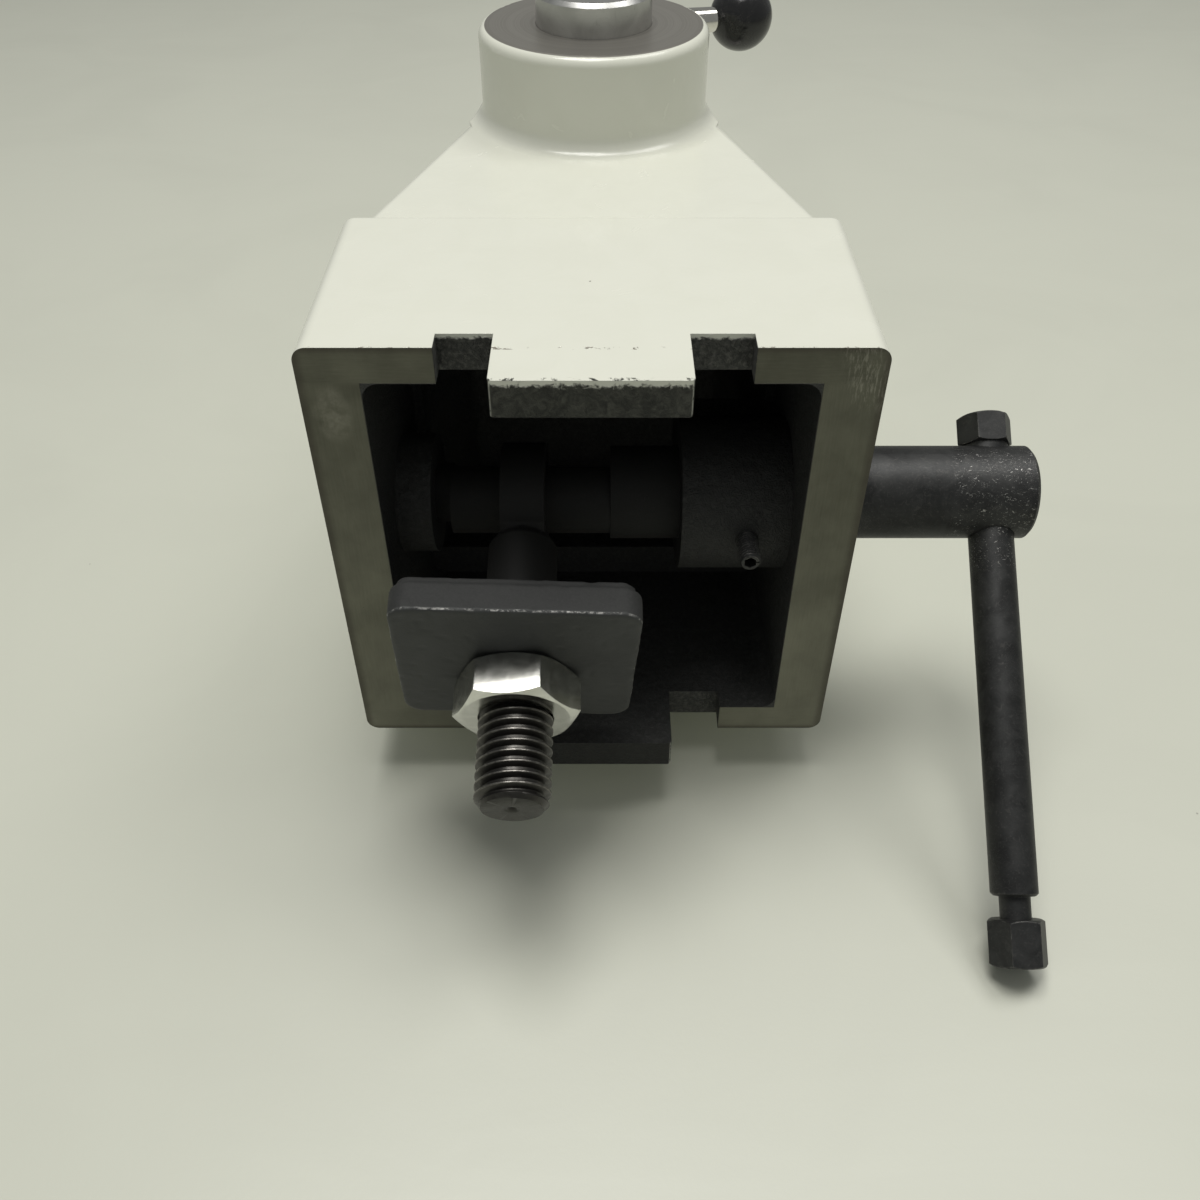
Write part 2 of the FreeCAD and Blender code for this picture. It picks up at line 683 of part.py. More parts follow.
# ---- quill key and quill lock
def quill_key_screw():
    """Dog-point screw that keeps the quill from turning."""
    outer = spot_face_x + key_screw_proud
    body = outer - quill_radius - past
    tip = outer - (quill_radius - keyway_depth + key_dog_gap)
    place = frame_at(vec(-outer, centre_height, key_place), X_AXIS, Y_AXIS)
    screw = turned([(0, 0), (key_screw_radius - end_chamfer, 0), (key_screw_radius, end_chamfer),
                    (key_screw_radius, body), (key_dog_radius, body), (key_dog_radius, tip), (0, tip)], place)
    return screw.cut(hex_socket(key_screw_radius, key_screw_radius, place))


def quill_key_locknut():
    """Locknut on the key screw, against the spot face."""
    place = frame_at(vec(-spot_face_x, centre_height, key_place), -X_AXIS, Y_AXIS)
    return hex_nut(locknut_flats, locknut_height, key_screw_radius + screw_hole_clearance, place)


def quill_lock_pad():
    """Brass pad between the lock stud and the quill."""
    low = centre_height + quill_radius + pad_gap
    return rod(pad_radius, vec(0, low, lock_place), Y_AXIS, pad_length)


def quill_lock_stud():
    """Threaded stud that presses on the pad."""
    low = quill_radius + pad_gap + pad_length + stud_pad_gap
    return turned([(0, low), (stud_radius - end_chamfer, low), (stud_radius, low + end_chamfer),
                   (stud_radius, stud_top), (0, stud_top)], lock_frame)


def lock_arm_axis():
    """Where the lock's arm starts, and its direction."""
    rise = math.radians(lock_arm_rise)
    start = vec(0, centre_height + lock_boss_top + lock_hub_gap + lock_hub_length / 2, lock_place)
    return start, vec(math.cos(rise), math.sin(rise), 0)


def lock_arm(extra):
    """The lock's tapered arm, grown by an extra radius."""
    start, way = lock_arm_axis()
    return Part.makeCone(lock_arm_root + extra, lock_arm_tip + extra, lock_arm_length, start, way)


def quill_lock_arm():
    """Hub and tapered arm of the quill lock."""
    low = lock_boss_top + lock_hub_gap
    high = low + lock_hub_length
    radius, edge = lock_hub_radius, lock_hub_edge
    hub = turned([(0, low), (radius - edge / 2, low), (radius, low + edge / 2), (radius, high - edge),
                  (radius - edge, high), (0, high)], lock_frame)
    socket = rod(stud_radius + lock_fit, vec(0, centre_height + low - past, lock_place), Y_AXIS,
                 stud_top + lock_socket_gap - low + past)
    return hub.fuse(lock_arm(0)).cut(socket)


def quill_lock_knob():
    """Ball knob on the arm's end."""
    start, way = lock_arm_axis()
    ball = Part.makeSphere(lock_knob_radius, start + way * (lock_arm_length + lock_knob_reach))
    return ball.cut(lock_arm(lock_fit))


for node in (tailstock_body, cam_shaft, shaft_retaining_screw, lever_bar, lever_cap, clamp_bolt,
             clamp_plate, clamp_nut, quill, quill_nut, lead_screw, screw_retainer, retainer_screws,
             thrust_washer_inner, thrust_washer_outer, handwheel, handwheel_key, handwheel_washer,
             handwheel_nut, quill_key_screw, quill_key_locknut, quill_lock_pad, quill_lock_stud,
             quill_lock_arm, quill_lock_knob):
    save(node.__name__, node())
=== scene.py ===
"""Looks of a small wood lathe's tailstock and its cam clamp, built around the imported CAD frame.

Everything is in metres and in the row frame: the origin is the centre of the bed gap on the machined bed face,
-Y leaves that face, +Z runs along the quill to its nose, and +X is the clamp lever's side. The part stands on
the flat outer face of its handwheel.
"""
import json
import logging
import math
from collections.abc import Mapping, Sequence
from dataclasses import dataclass, field
from enum import Enum
from typing import Any, Union

import bmesh
import bpy
from bmesh.types import BMEdge, BMesh, BMVert
from bpy.types import Material, Node, NodeSocket, Object
from mathutils import Matrix, Vector, noise


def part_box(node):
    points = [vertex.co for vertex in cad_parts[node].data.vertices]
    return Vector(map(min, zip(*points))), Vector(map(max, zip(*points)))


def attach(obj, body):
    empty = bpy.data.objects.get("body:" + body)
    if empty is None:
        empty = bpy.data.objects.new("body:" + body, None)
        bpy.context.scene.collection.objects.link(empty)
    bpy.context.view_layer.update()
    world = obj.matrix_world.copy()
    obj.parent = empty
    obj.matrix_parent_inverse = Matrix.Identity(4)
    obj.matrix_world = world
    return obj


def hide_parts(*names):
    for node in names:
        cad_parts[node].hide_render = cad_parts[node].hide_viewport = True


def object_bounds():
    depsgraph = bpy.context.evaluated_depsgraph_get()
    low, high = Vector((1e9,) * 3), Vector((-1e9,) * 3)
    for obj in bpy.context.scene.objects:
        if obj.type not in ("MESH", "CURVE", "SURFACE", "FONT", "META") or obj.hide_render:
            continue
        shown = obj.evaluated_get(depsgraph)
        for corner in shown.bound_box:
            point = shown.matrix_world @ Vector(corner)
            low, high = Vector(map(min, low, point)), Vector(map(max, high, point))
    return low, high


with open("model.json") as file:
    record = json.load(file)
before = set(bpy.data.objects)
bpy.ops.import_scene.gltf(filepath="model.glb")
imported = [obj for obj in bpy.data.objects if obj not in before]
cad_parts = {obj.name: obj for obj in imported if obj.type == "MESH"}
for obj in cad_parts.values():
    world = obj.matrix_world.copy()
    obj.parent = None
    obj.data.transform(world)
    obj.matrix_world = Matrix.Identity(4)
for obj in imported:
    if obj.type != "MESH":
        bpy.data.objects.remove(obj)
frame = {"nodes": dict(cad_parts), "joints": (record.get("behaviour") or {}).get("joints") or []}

LOG = logging.getLogger("tailstock")
BOX_AT_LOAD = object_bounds()
INCH = 0.0254
TOUCHING = 1e-6
BEVEL_SAMPLES = 4
BRONZE = {"dark": (0.36, 0.21, 0.075), "light": (0.56, 0.36, 0.15)}

Pair = tuple[float, float]
Triple = tuple[float, float, float]
Colour = Union[Triple, NodeSocket]
Number = Union[float, "Value"]


# --- shader maths
class Value:
    """A number that varies over a surface. Arithmetic on it adds Math nodes to its shader."""

    def __init__(self, shader: "Shader", socket: NodeSocket) -> None:
        """Keeps the socket and the shader that it belongs to."""
        self.shader = shader
        self.socket = socket

    def _math(self, operation: str, *operands: Number) -> "Value":
        """The result of one Math node on its operands."""
        made = self.shader.node("ShaderNodeMath", {"operation": operation}, dict(enumerate(operands)))
        return Value(self.shader, made.outputs[0])

    def __add__(self, other: Number) -> "Value":
        """self + other."""
        return self._math("ADD", self, other)

    __radd__ = __add__

    def __sub__(self, other: Number) -> "Value":
        """self - other."""
        return self._math("SUBTRACT", self, other)

    def __rsub__(self, other: Number) -> "Value":
        """other - self."""
        return self._math("SUBTRACT", other, self)

    def __mul__(self, other: Number) -> "Value":
        """self * other."""
        return self._math("MULTIPLY", self, other)

    __rmul__ = __mul__

    def __mod__(self, other: Number) -> "Value":
        """self modulo other, never negative."""
        return self._math("FLOORED_MODULO", self, other)

    def __neg__(self) -> "Value":
        """-self."""
        return self._math("MULTIPLY", self, -1.0)

    def __abs__(self) -> "Value":
        """The distance from zero."""
        return self._math("ABSOLUTE", self)

    def __or__(self, other: Number) -> "Value":
        """The larger of two masks."""
        return self._math("MAXIMUM", self, other)

    def rises(self, low: float, high: float) -> "Value":
        """0 below low and 1 above high, with a smooth step between them."""
        made = self.shader.node("ShaderNodeMapRange", {"interpolation_type": "SMOOTHSTEP"},
                                {"Value": self, "From Min": low, "From Max": high})
        return Value(self.shader, made.outputs[0])

    def falls(self, low: float, high: float) -> "Value":
        """1 below low and 0 above high."""
        return 1.0 - self.rises(low, high)

    def inside(self, low: float, high: float, soft: float) -> "Value":
        """1 between low and high and 0 outside them, over a soft edge."""
        return self.rises(low - soft, low + soft) * self.falls(high - soft, high + soft)


@dataclass
class Skin:
    """What one coat or metal looks like over a surface, before it is plugged into a shader."""

    colour: Colour
    rough: Number
    metal: Number = 0.0
    relief: Number = 0.0


class Shader:
    """The node tree of one material, with its Principled shader and the surface's own coordinates."""

    def __init__(self, name: str) -> None:
        """Makes an empty material that shows one Principled shader."""
        self.material = bpy.data.materials.new(name)
        self.material.use_nodes = True
        self.tree = self.material.node_tree
        self.tree.nodes.clear()
        self.principled = self.node("ShaderNodeBsdfPrincipled")
        self.node("ShaderNodeOutputMaterial", {}, {"Surface": self.principled.outputs[0]})
        coordinates = self.node("ShaderNodeTexCoord")
        self.place = coordinates.outputs["Object"]
        self.facing = coordinates.outputs["Normal"]

    def node(self, kind: str, settings: Mapping[str, Any] | None = None,
             inputs: Mapping[Any, Any] | None = None) -> Node:
        """Adds any node.

        Args:
            kind: the node's type.
            settings: what is set on the node before its sockets, with "stops" for a ramp's (place, colour) pairs.
            inputs: a value or a link for each socket, by name or number.

        Returns:
            The node.
        """
        made = self.tree.nodes.new(kind)
        for name, setting in (settings or {}).items():
            if name == "stops":
                self._set_stops(made.color_ramp, setting)
            else:
                setattr(made, name, setting)
        for name, value in (inputs or {}).items():
            self._plug(made.inputs[name], value)
        return made

    def _plug(self, socket: NodeSocket, value: Any) -> None:
        """Links a socket to what varies over the surface, or sets it.

        Args:
            socket: the input.
            value: a Value, an output, a number, a vector or a colour without alpha.
        """
        if isinstance(value, Value):
            value = value.socket
        if isinstance(value, NodeSocket):
            self.tree.links.new(value, socket)
        elif socket.type == "RGBA":
            socket.default_value = (*value, 1.0)
        else:
            socket.default_value = value

    @staticmethod
    def _set_stops(ramp: bpy.types.ColorRamp, stops: Sequence[tuple[float, Colour]]) -> None:
        """Gives a ramp its colours."""
        while len(ramp.elements) < len(stops):
            ramp.elements.new(0.5)
        for element, (place, colour) in zip(ramp.elements, stops):
            element.position = place
            element.color = (*colour, 1.0)

    def parts(self, vector: NodeSocket) -> tuple[Value, Value, Value]:
        """A vector's three numbers."""
        split = self.node("ShaderNodeSeparateXYZ", {}, {0: vector})
        return tuple(Value(self, out) for out in split.outputs)

    def vector(self, x: Number, y: Number, z: Number) -> NodeSocket:
        """A vector from three numbers."""
        return self.node("ShaderNodeCombineXYZ", {}, {0: x, 1: y, 2: z}).outputs[0]

    def vector_math(self, operation: str, *operands: Any) -> Node:
        """Adds one Vector Math node."""
        return self.node("ShaderNodeVectorMath", {"operation": operation}, dict(enumerate(operands)))

    def about(self, origin: Sequence[float], axis: Sequence[float]) -> tuple[Value, Value]:
        """Places a surface about an axis.

        Args:
            origin: a point on the axis.
            axis: its unit direction.

        Returns:
            The distance along the axis from the point, and the distance from the axis.
        """
        away = self.vector_math("SUBTRACT", self.place, tuple(origin)).outputs[0]
        along = self.vector_math("DOT_PRODUCT", away, tuple(axis)).outputs[1]
        across = self.vector_math("CROSS_PRODUCT", away, tuple(axis)).outputs[0]
        return Value(self, along), Value(self, self.vector_math("LENGTH", across).outputs[1])

    def noise(self, size: float, detail: float = 3.0, rough: float = 0.5, warp: float = 0.0,
              stretch: Triple = (1.0, 1.0, 1.0), shift: float = 0.0,
              place: NodeSocket | None = None) -> Value:
        """Soft random patches, from 0 to 1.

        Args:
            size: about how far apart the patches lie, in metres.
            detail: how many finer layers are added.
            rough: how strong the finer layers are.
            warp: how much the patches are drawn out of shape.
            stretch: how much longer the patches are along each axis.
            shift: moves the pattern, so that two of one size differ.
            place: coordinates to use in place of the surface's own.

        Returns:
            The pattern.
        """
        scale = tuple(1.0 / (size * s) for s in stretch)
        where = self.vector_math("MULTIPLY_ADD", place or self.place, scale, (shift,) * 3).outputs[0]
        made = self.node("ShaderNodeTexNoise", {}, {"Vector": where, "Scale": 1.0, "Detail": detail,
                                                    "Roughness": rough, "Distortion": warp})
        return Value(self, made.outputs[0])

    def specks(self, size: float, share: float) -> Value:
        """Small separate dots, 1 at their centres: cells of a size, a share of which is dot."""
        where = self.node("ShaderNodeVectorMath", {"operation": "SCALE"}, {0: self.place, "Scale": 1.0 / size})
        made = self.node("ShaderNodeTexVoronoi", {}, {"Vector": where.outputs[0], "Scale": 1.0})
        return Value(self, made.outputs["Distance"]).falls(share * 0.6, share)

    def softened(self, radius: float) -> NodeSocket:
        """The surface's normal, rounded over its sharp edges."""
        return self.node("ShaderNodeBevel", {"samples": BEVEL_SAMPLES}, {"Radius": radius}).outputs[0]

    def edges(self, radius: float) -> Value:
        """How near a sharp edge a point is: 0 on a flat, towards 1 at the edge."""
        soft = self.softened(radius)
        sharp = self.node("ShaderNodeNewGeometry").outputs["Normal"]
        return (1.0 - Value(self, self.vector_math("DOT_PRODUCT", soft, sharp).outputs[1])).rises(0.01, 0.2)

    def mix(self, share: Number, under: Colour, over: Colour) -> NodeSocket:
        """One colour over another."""
        return self.node("ShaderNodeMix", {"data_type": "RGBA"}, {0: share, 6: under, 7: over}).outputs[2]

    def laid(self, share: Value, under: Skin, over: Skin) -> Skin:
        """One skin over another.

        Args:
            share: 1 where the upper skin covers, 0 where the lower one shows.
            under: the lower skin.
            over: the upper skin.

        Returns:
            The two as one skin.
        """
        def between(low: Number, high: Number) -> Number:
            """A number that goes from one skin's to the other's."""
            if isinstance(low, float) and isinstance(high, float) and low == high:
                return low
            return share * high + (1.0 - share) * low

        return Skin(self.mix(share, under.colour, over.colour), between(under.rough, over.rough),
                    between(under.metal, over.metal), between(under.relief, over.relief))

    def finish(self, skin: Skin, edge: float = 0.0) -> Material:
        """Plugs a skin into the Principled shader.

        Args:
            skin: the whole surface's colour, roughness, metal and relief in metres.
            edge: radius that every sharp edge is softened by.

        Returns:
            The finished material.
        """
        bump = self.node("ShaderNodeBump", {}, {"Strength": 1.0, "Distance": 1.0, "Height": skin.relief})
        if edge:
            self._plug(bump.inputs["Normal"], self.softened(edge))
        for name, value in (("Base Color", skin.colour), ("Roughness", skin.rough), ("Metallic", skin.metal),
                            ("Normal", bump.outputs[0])):
            self._plug(self.principled.inputs[name], value)
        return self.material


# --- finishes
class Finish:
    """A finish that can be put on pieces. Its material is made once."""

    name: str = "finish"

    def skin(self, shader: Shader) -> Material:
        """Builds the look in a new shader."""
        raise NotImplementedError

    def dress(self, *pieces: Object) -> None:
        """Puts the finish on every material slot of some pieces."""
        material = bpy.data.materials.get(self.name) or self.skin(Shader(self.name))
        for piece in pieces:
            if not piece.material_slots:
                piece.data.materials.append(material)
            for place in piece.material_slots:
                place.material = material


@dataclass(frozen=True)
class BareIron:
    """Machined grey iron, as it shows where a casting has no paint."""

    light: Triple = (0.212, 0.211, 0.168)
    dark: Triple = (0.090, 0.0895, 0.070)
    grain: float = 0.0035

    def skin(self, shader: Shader, lines: Triple = (1.0, 1.0, 16.0)) -> Skin:
        """Mottled, finely scratched metal, with painted light that makes it lighter towards -Z.

        Args:
            shader: the shader to build in.
            lines: how much longer the cutter's marks are along each axis.

        Returns:
            The skin.
        """
        smudge = shader.noise(self.grain * 3.0, 5.0, 0.6, 0.2).rises(0.2, 0.8)
        cloud = shader.noise(self.grain * 9.0, 2.0, 0.5, shift=4.0).rises(0.25, 0.75)
        cut = shader.noise(0.00042, 3.0, 0.65, 0.0, lines)
        fine = shader.noise(0.00022, 2.0, 0.6, 0.0, lines, shift=9.0)
        nick = shader.noise(0.0011, 3.0, 0.7, 0.8, shift=2.0).rises(0.70, 0.78)
        _, _, z = shader.parts(shader.place)
        # Painted light: the - z * 5.0 term lightens the colour towards the bottom of the face, for the light it
        # catches there; the rest is the metal's own mottling.
        mottle_and_painted_light = smudge * 0.3 + cloud * 0.3 + cut * 0.5 - z * 5.0 - 0.08
        colour = shader.mix(mottle_and_painted_light, self.dark, self.light)
        colour = shader.mix(nick * 0.6, colour, (0.075, 0.07, 0.062))
        rough = 0.48 - 0.08 * smudge + 0.12 * cut
        return Skin(colour, rough, 0.86, cut * 9e-6 + fine * 5e-6 + nick * 6e-6)


@dataclass(frozen=True)
class SandSkin:
    """The rough, dark inside of a sand casting; its default colours are made darker partly as painted shade for the
    hollow.
    """

    colour: Triple = (0.027, 0.028, 0.0265)
    dust: Triple = (0.058, 0.0595, 0.0565)

    def skin(self, shader: Shader) -> Skin:
        """Lumps and sand grain under a thin oily black."""
        lumps = shader.noise(0.0042, 4.0, 0.55, 0.3)
        grain = shader.noise(0.00105, 4.0, 0.6, 0.0, shift=3.0)
        worm = shader.noise(0.0023, 2.0, 0.5, 2.5, shift=6.0).inside(0.46, 0.54, 0.03)
        colour = shader.mix(grain.rises(0.4, 0.75) * 0.8, self.colour, self.dust)
        return Skin(colour, 0.5 + 0.3 * grain, 0.0, lumps * 5.5e-4 + grain * 2.2e-4 + worm * 9e-5)


@dataclass(frozen=True)
class CastPaint(Finish):
    """Ivory enamel on grey iron, with the machined and the raw faces of the casting left bare.

    The sizes are the casting's own, in metres.
    """

    name: str = "ivory_enamel_on_iron"
    enamel: Triple = (0.71, 0.718, 0.635)
    half_width: float = 0.05715
    half_length: float = 0.0543
    cavity_x: float = 0.04485
    cavity_z: float = 0.0464
    roof: float = 0.0516
    tongue_end: float = -0.0117
    notch: float = 0.0053
    notch_reach: float = 0.0335
    pocket_bottom: float = 0.0594
    pocket_top: float = 0.0886
    pocket_slope: float = 0.46
    pocket_half: float = 0.0470
    pocket_ends: Pair = (-0.0376, 0.0448)
    quill_height: float = 0.127
    quill_bore: float = 0.0152
    nose: float = 0.0763
    rear_face: float = -0.0462
    rear_radius: float = 0.0295
    lock_boss_top: float = 0.1627
    spot_place: float = 0.020
    spot_radius: float = 0.0094
    spot_ends: Pair = (-0.0325, -0.0130)
    shaft_height: float = 0.027
    boss: float = 0.0182
    boss_end: float = 0.02005

    def _enamel(self, shader: Shader) -> Skin:
        """Sprayed gloss over the casting's own waves, with a few pits."""
        peel = shader.noise(0.0013, 2.0, 0.5)
        waves = shader.noise(0.011, 3.0, 0.5, 0.4, shift=5.0)
        pits = shader.specks(0.021, 0.020)
        tint = shader.mix(waves.rises(0.35, 0.7) * 0.35, self.enamel, (0.68, 0.688, 0.60))
        tint = shader.mix(pits, tint, (0.12, 0.11, 0.09))
        smear = shader.noise(0.018, 4.0, 0.6, 1.2, shift=8.0).rises(0.45, 0.75)
        return Skin(tint, 0.17 + 0.13 * smear, 0.0, peel * 1.1e-5 + waves * 1.5e-4 - pits * 2.5e-4)

    def _inside(self, x: Value, y: Value, z: Value) -> Value:
        """1 in the base's hollow and in the neck's, 0 outside them."""
        base = abs(x).falls(self.cavity_x, self.cavity_x + 2e-4) * abs(z).falls(self.cavity_z, self.cavity_z + 2e-4)
        base = base * y.inside(self.tongue_end - 0.0005, self.roof, 1e-4)
        narrowing = abs(x) + (y - self.pocket_bottom) * self.pocket_slope
        neck = narrowing.falls(self.pocket_half, self.pocket_half + 0.001) * z.inside(*self.pocket_ends, 2e-4)
        return base | neck * y.inside(self.roof - 0.001, self.pocket_top, 1e-4)

    def _hollow(self, shader: Shader) -> Skin:
        """The sand skin of the hollow, darker than the raw faces outside partly as painted shade, with the shaft's
        boss laid darker still.
        """
        # Painted shade, partly: the default sand colours, darker than the raw faces outside the hollow, stand for
        # dark raw iron and for the shade inside the hollow.
        sand = SandSkin().skin(shader)
        along, off = shader.about((0.0, self.shaft_height, 0.0), (1.0, 0.0, 0.0))
        boss = off.falls(self.boss, self.boss + 3e-4) * along.rises(self.boss_end - 4e-4, self.boss_end - 1e-4)
        return shader.laid(boss * 0.8, sand, Skin((0.012, 0.0125, 0.012), 0.6, 0.0, sand.relief))

    def skin(self, shader: Shader) -> Material:
        """Lays the bare faces over the enamel, each with a ragged edge of paint."""
        x, y, z = shader.parts(shader.place)
        nx, ny, nz = shader.parts(shader.facing)
        ragged = shader.noise(0.0016, 4.0, 0.7, 1.0) - 0.5
        chipped = shader.noise(0.0034, 4.0, 0.72, 1.5, shift=7.0)
        bed_facing = (-ny).rises(0.6, 0.9)

        enamel = self._enamel(shader)
        machined = BareIron().skin(shader, (14.0, 1.0, 1.0))
        drawn = abs(x).rises(0.0436, 0.0452) * abs(z).falls(0.0455, 0.0475)
        side_marks = BareIron(grain=0.0042).skin(shader, (1.0, 1.0, 16.0))
        machined = shader.laid(drawn, machined, side_marks)
        worn_rim = (abs(x).rises(self.half_width - 0.0022, self.half_width - 0.0004)
                    | abs(z).rises(self.half_length - 0.0016, self.half_length - 0.0003))
        machined = Skin(shader.mix(worn_rim * (0.35 + chipped * 0.5), machined.colour, (0.07, 0.062, 0.052)),
                        machined.rough, machined.metal, machined.relief)
        near_corner = (x - 0.0535 + (z - 0.047) * 0.25).inside(-0.0035, 0.003, 0.002) * z.rises(0.038, 0.046)
        streaks = shader.noise(0.0006, 4.0, 0.7, 0.3, (1.0, 1.0, 5.0), shift=11.0).rises(0.46, 0.64)
        rubbed = ((x + 0.0512) * (x + 0.0512) + (z - 0.0395) * (z - 0.0395) * 0.35).falls(1e-6, 2e-5)
        rubbed = rubbed * shader.noise(0.0035, 4.0, 0.6, shift=13.0).rises(0.3, 0.75)
        machined = shader.laid(near_corner * streaks * 0.3 | rubbed * 0.3, machined,
                               Skin((0.48, 0.465, 0.41), 0.34, 0.9))

        raw = SandSkin((0.045, 0.046, 0.044), (0.13, 0.13, 0.12)).skin(shader)
        end = Skin(shader.mix(shader.noise(0.0022, 5.0, 0.65, 1.0, shift=1.0).rises(0.35, 0.7),
                              (0.028, 0.029, 0.0255), (0.075, 0.076, 0.066)),
                   0.55, 0.45, raw.relief)

        whole = enamel
        bed = bed_facing * y.inside(-0.0006, 0.0006, 1e-4)
        whole = shader.laid(bed, whole, machined)
        flank = abs(x).falls(self.notch_reach, self.notch_reach + 1e-4) * abs(z).falls(
            self.half_length - 0.0003, self.half_length)
        flank = flank * (abs(nx).rises(0.7, 0.9) * y.falls(self.notch + 2e-4, self.notch + 4e-4))
        whole = shader.laid(flank, whole, raw)
        fringe = (z + ragged * 0.0022).falls(self.half_length - 0.0013, self.half_length - 0.0007)
        floor = bed_facing * y.inside(self.notch - 4e-4, self.notch + 5e-4, 1e-4) * fringe
        whole = shader.laid(floor, whole, Skin(raw.colour, 0.5, 0.5, raw.relief))
        tongue_face = bed_facing * y.falls(self.tongue_end + 0.0010, self.tongue_end + 0.0012)
        lip = (z + ragged * 0.0035).falls(self.half_length - 0.0016, self.half_length - 0.0008)
        # Painted shade: the end of the lower tongue, below Z = 0, is laid near black as a shaded copy of the upper
        # tongue's end; the arris below takes it too.
        end = shader.laid(z.falls(-0.002, 0.002) * 0.85, end, Skin((0.012, 0.0125, 0.0115), 0.8, 0.0, raw.relief))
        whole = shader.laid(tongue_face * lip, whole, end)
        arris = y.falls(self.tongue_end + 0.0006, self.tongue_end + 0.0012) * chipped.rises(0.52, 0.6)
        whole = shader.laid(arris * (1.0 - bed_facing), whole, end)
        paint_edge = y.inside(-0.0006, 0.0004, 1e-4) * (1.0 - bed_facing) * chipped.rises(0.56, 0.62)
        whole = shader.laid(paint_edge, whole, Skin((0.3, 0.27, 0.23), 0.5, 0.7))
        whole = shader.laid(self._inside(x, y, z), whole, self._hollow(shader))

        along, off = shader.about((0.0, self.quill_height, 0.0), (0.0, 0.0, 1.0))
        turned = shader.noise(0.0002, 2.0, 0.6, place=shader.vector(off, along, 0.0))
        faced = Skin(shader.mix(turned, (0.28, 0.26, 0.23), (0.5, 0.48, 0.44)), 0.36, 0.9, turned * 8e-6)
        bored = off.falls(self.quill_bore, self.quill_bore + 1e-4) * abs(along).falls(0.09, 0.1)
        front = along.rises(self.nose - 2e-4, self.nose - 1e-4) * nz.rises(0.8, 0.95)
        rear = along.falls(self.rear_face, self.rear_face + 1e-4) * (-nz).rises(0.8, 0.95)
        rear = rear * off.falls(self.rear_radius, self.rear_radius + 2e-4)
        boss = y.rises(self.lock_boss_top, self.lock_boss_top + 1e-4) * ny.rises(0.8, 0.95)
        spot_x, spot_off = shader.about((0.0, self.quill_height, self.spot_place), (1.0, 0.0, 0.0))
        spot = spot_off.falls(self.spot_radius, self.spot_radius + 1e-4) * spot_x.inside(*self.spot_ends, 1e-4)
        whole = shader.laid(bored | front | rear | boss | spot, whole, faced)
        return shader.finish(whole, 0.00022)


@dataclass(frozen=True)
class BlackOxide(Finish):
    """Steel blackened in a hot bath and then handled: soft dark grey with rubbed edges and bright scuffs."""

    name: str = "black_oxide_steel"
    origin: Triple = (0.0, 0.0, 0.0)
    axis: Triple = (1.0, 0.0, 0.0)
    scuffed: Pair | None = None
    greased: float | None = None
    forged: float = 0.0

    def skin(self, shader: Shader) -> Material:
        """Turned marks along the axis, an even black, wear on the edges and scuffs over one stretch."""
        along, off = shader.about(self.origin, self.axis)
        lathe = shader.vector(along, off, 0.0)
        turned = shader.noise(0.00035, 3.0, 0.6, place=lathe)
        cloud = shader.noise(0.0065, 5.0, 0.6, 0.9).rises(0.3, 0.72)
        grain = shader.noise(0.0004, 3.0, 0.6, shift=3.0)
        dull = shader.noise(0.0011, 5.0, 0.7, 1.4, shift=6.0).rises(0.52, 0.7)
        colour = shader.mix(cloud * 0.75 + turned * 0.2, (0.030, 0.0305, 0.031), (0.062, 0.063, 0.063))
        relief = turned * 7e-6 + grain * 1.2e-5 + cloud * 2e-5
        if self.forged:
            relief = relief + shader.noise(0.0031, 3.0, 0.5, 0.5, shift=2.0) * self.forged
        base = Skin(shader.mix(dull * 0.35, colour, (0.12, 0.115, 0.11)), 0.40 + 0.14 * grain + 0.06 * cloud,
                    0.82, relief)
        wear = shader.edges(0.0004) * shader.noise(0.0018, 4.0, 0.7, 0.8, shift=5.0).rises(0.42, 0.66)
        base = shader.laid(wear * 0.7, base, Skin((0.36, 0.35, 0.335), 0.34, 0.95))
        if self.scuffed:
            stretch = along.inside(self.scuffed[0], self.scuffed[1], 0.0015)
            marks = shader.noise(0.0009, 5.0, 0.8, 1.8, (1.6, 1.0, 1.0), shift=12.0).rises(0.585, 0.66)
            base = shader.laid(stretch * marks * 0.75, base, Skin((0.55, 0.54, 0.52), 0.33, 0.95, 2e-6))
        if self.greased:
            base = shader.laid(along.falls(self.greased - 0.001, self.greased), base,
                               Skin((0.008, 0.008, 0.0075), 0.65 + 0.2 * grain, 0.0, grain * 4e-5))
        scratch = shader.noise(0.0006, 2.0, 0.5, 3.5, shift=15.0).inside(0.498, 0.502, 0.0015)
        patch = shader.noise(0.013, 2.0, 0.5, shift=18.0).rises(0.52, 0.62)
        base = shader.laid(scratch * patch * 0.5, base, Skin((0.3, 0.3, 0.29), 0.4, 0.9, -6e-6))
        return shader.finish(base, 0.00028)


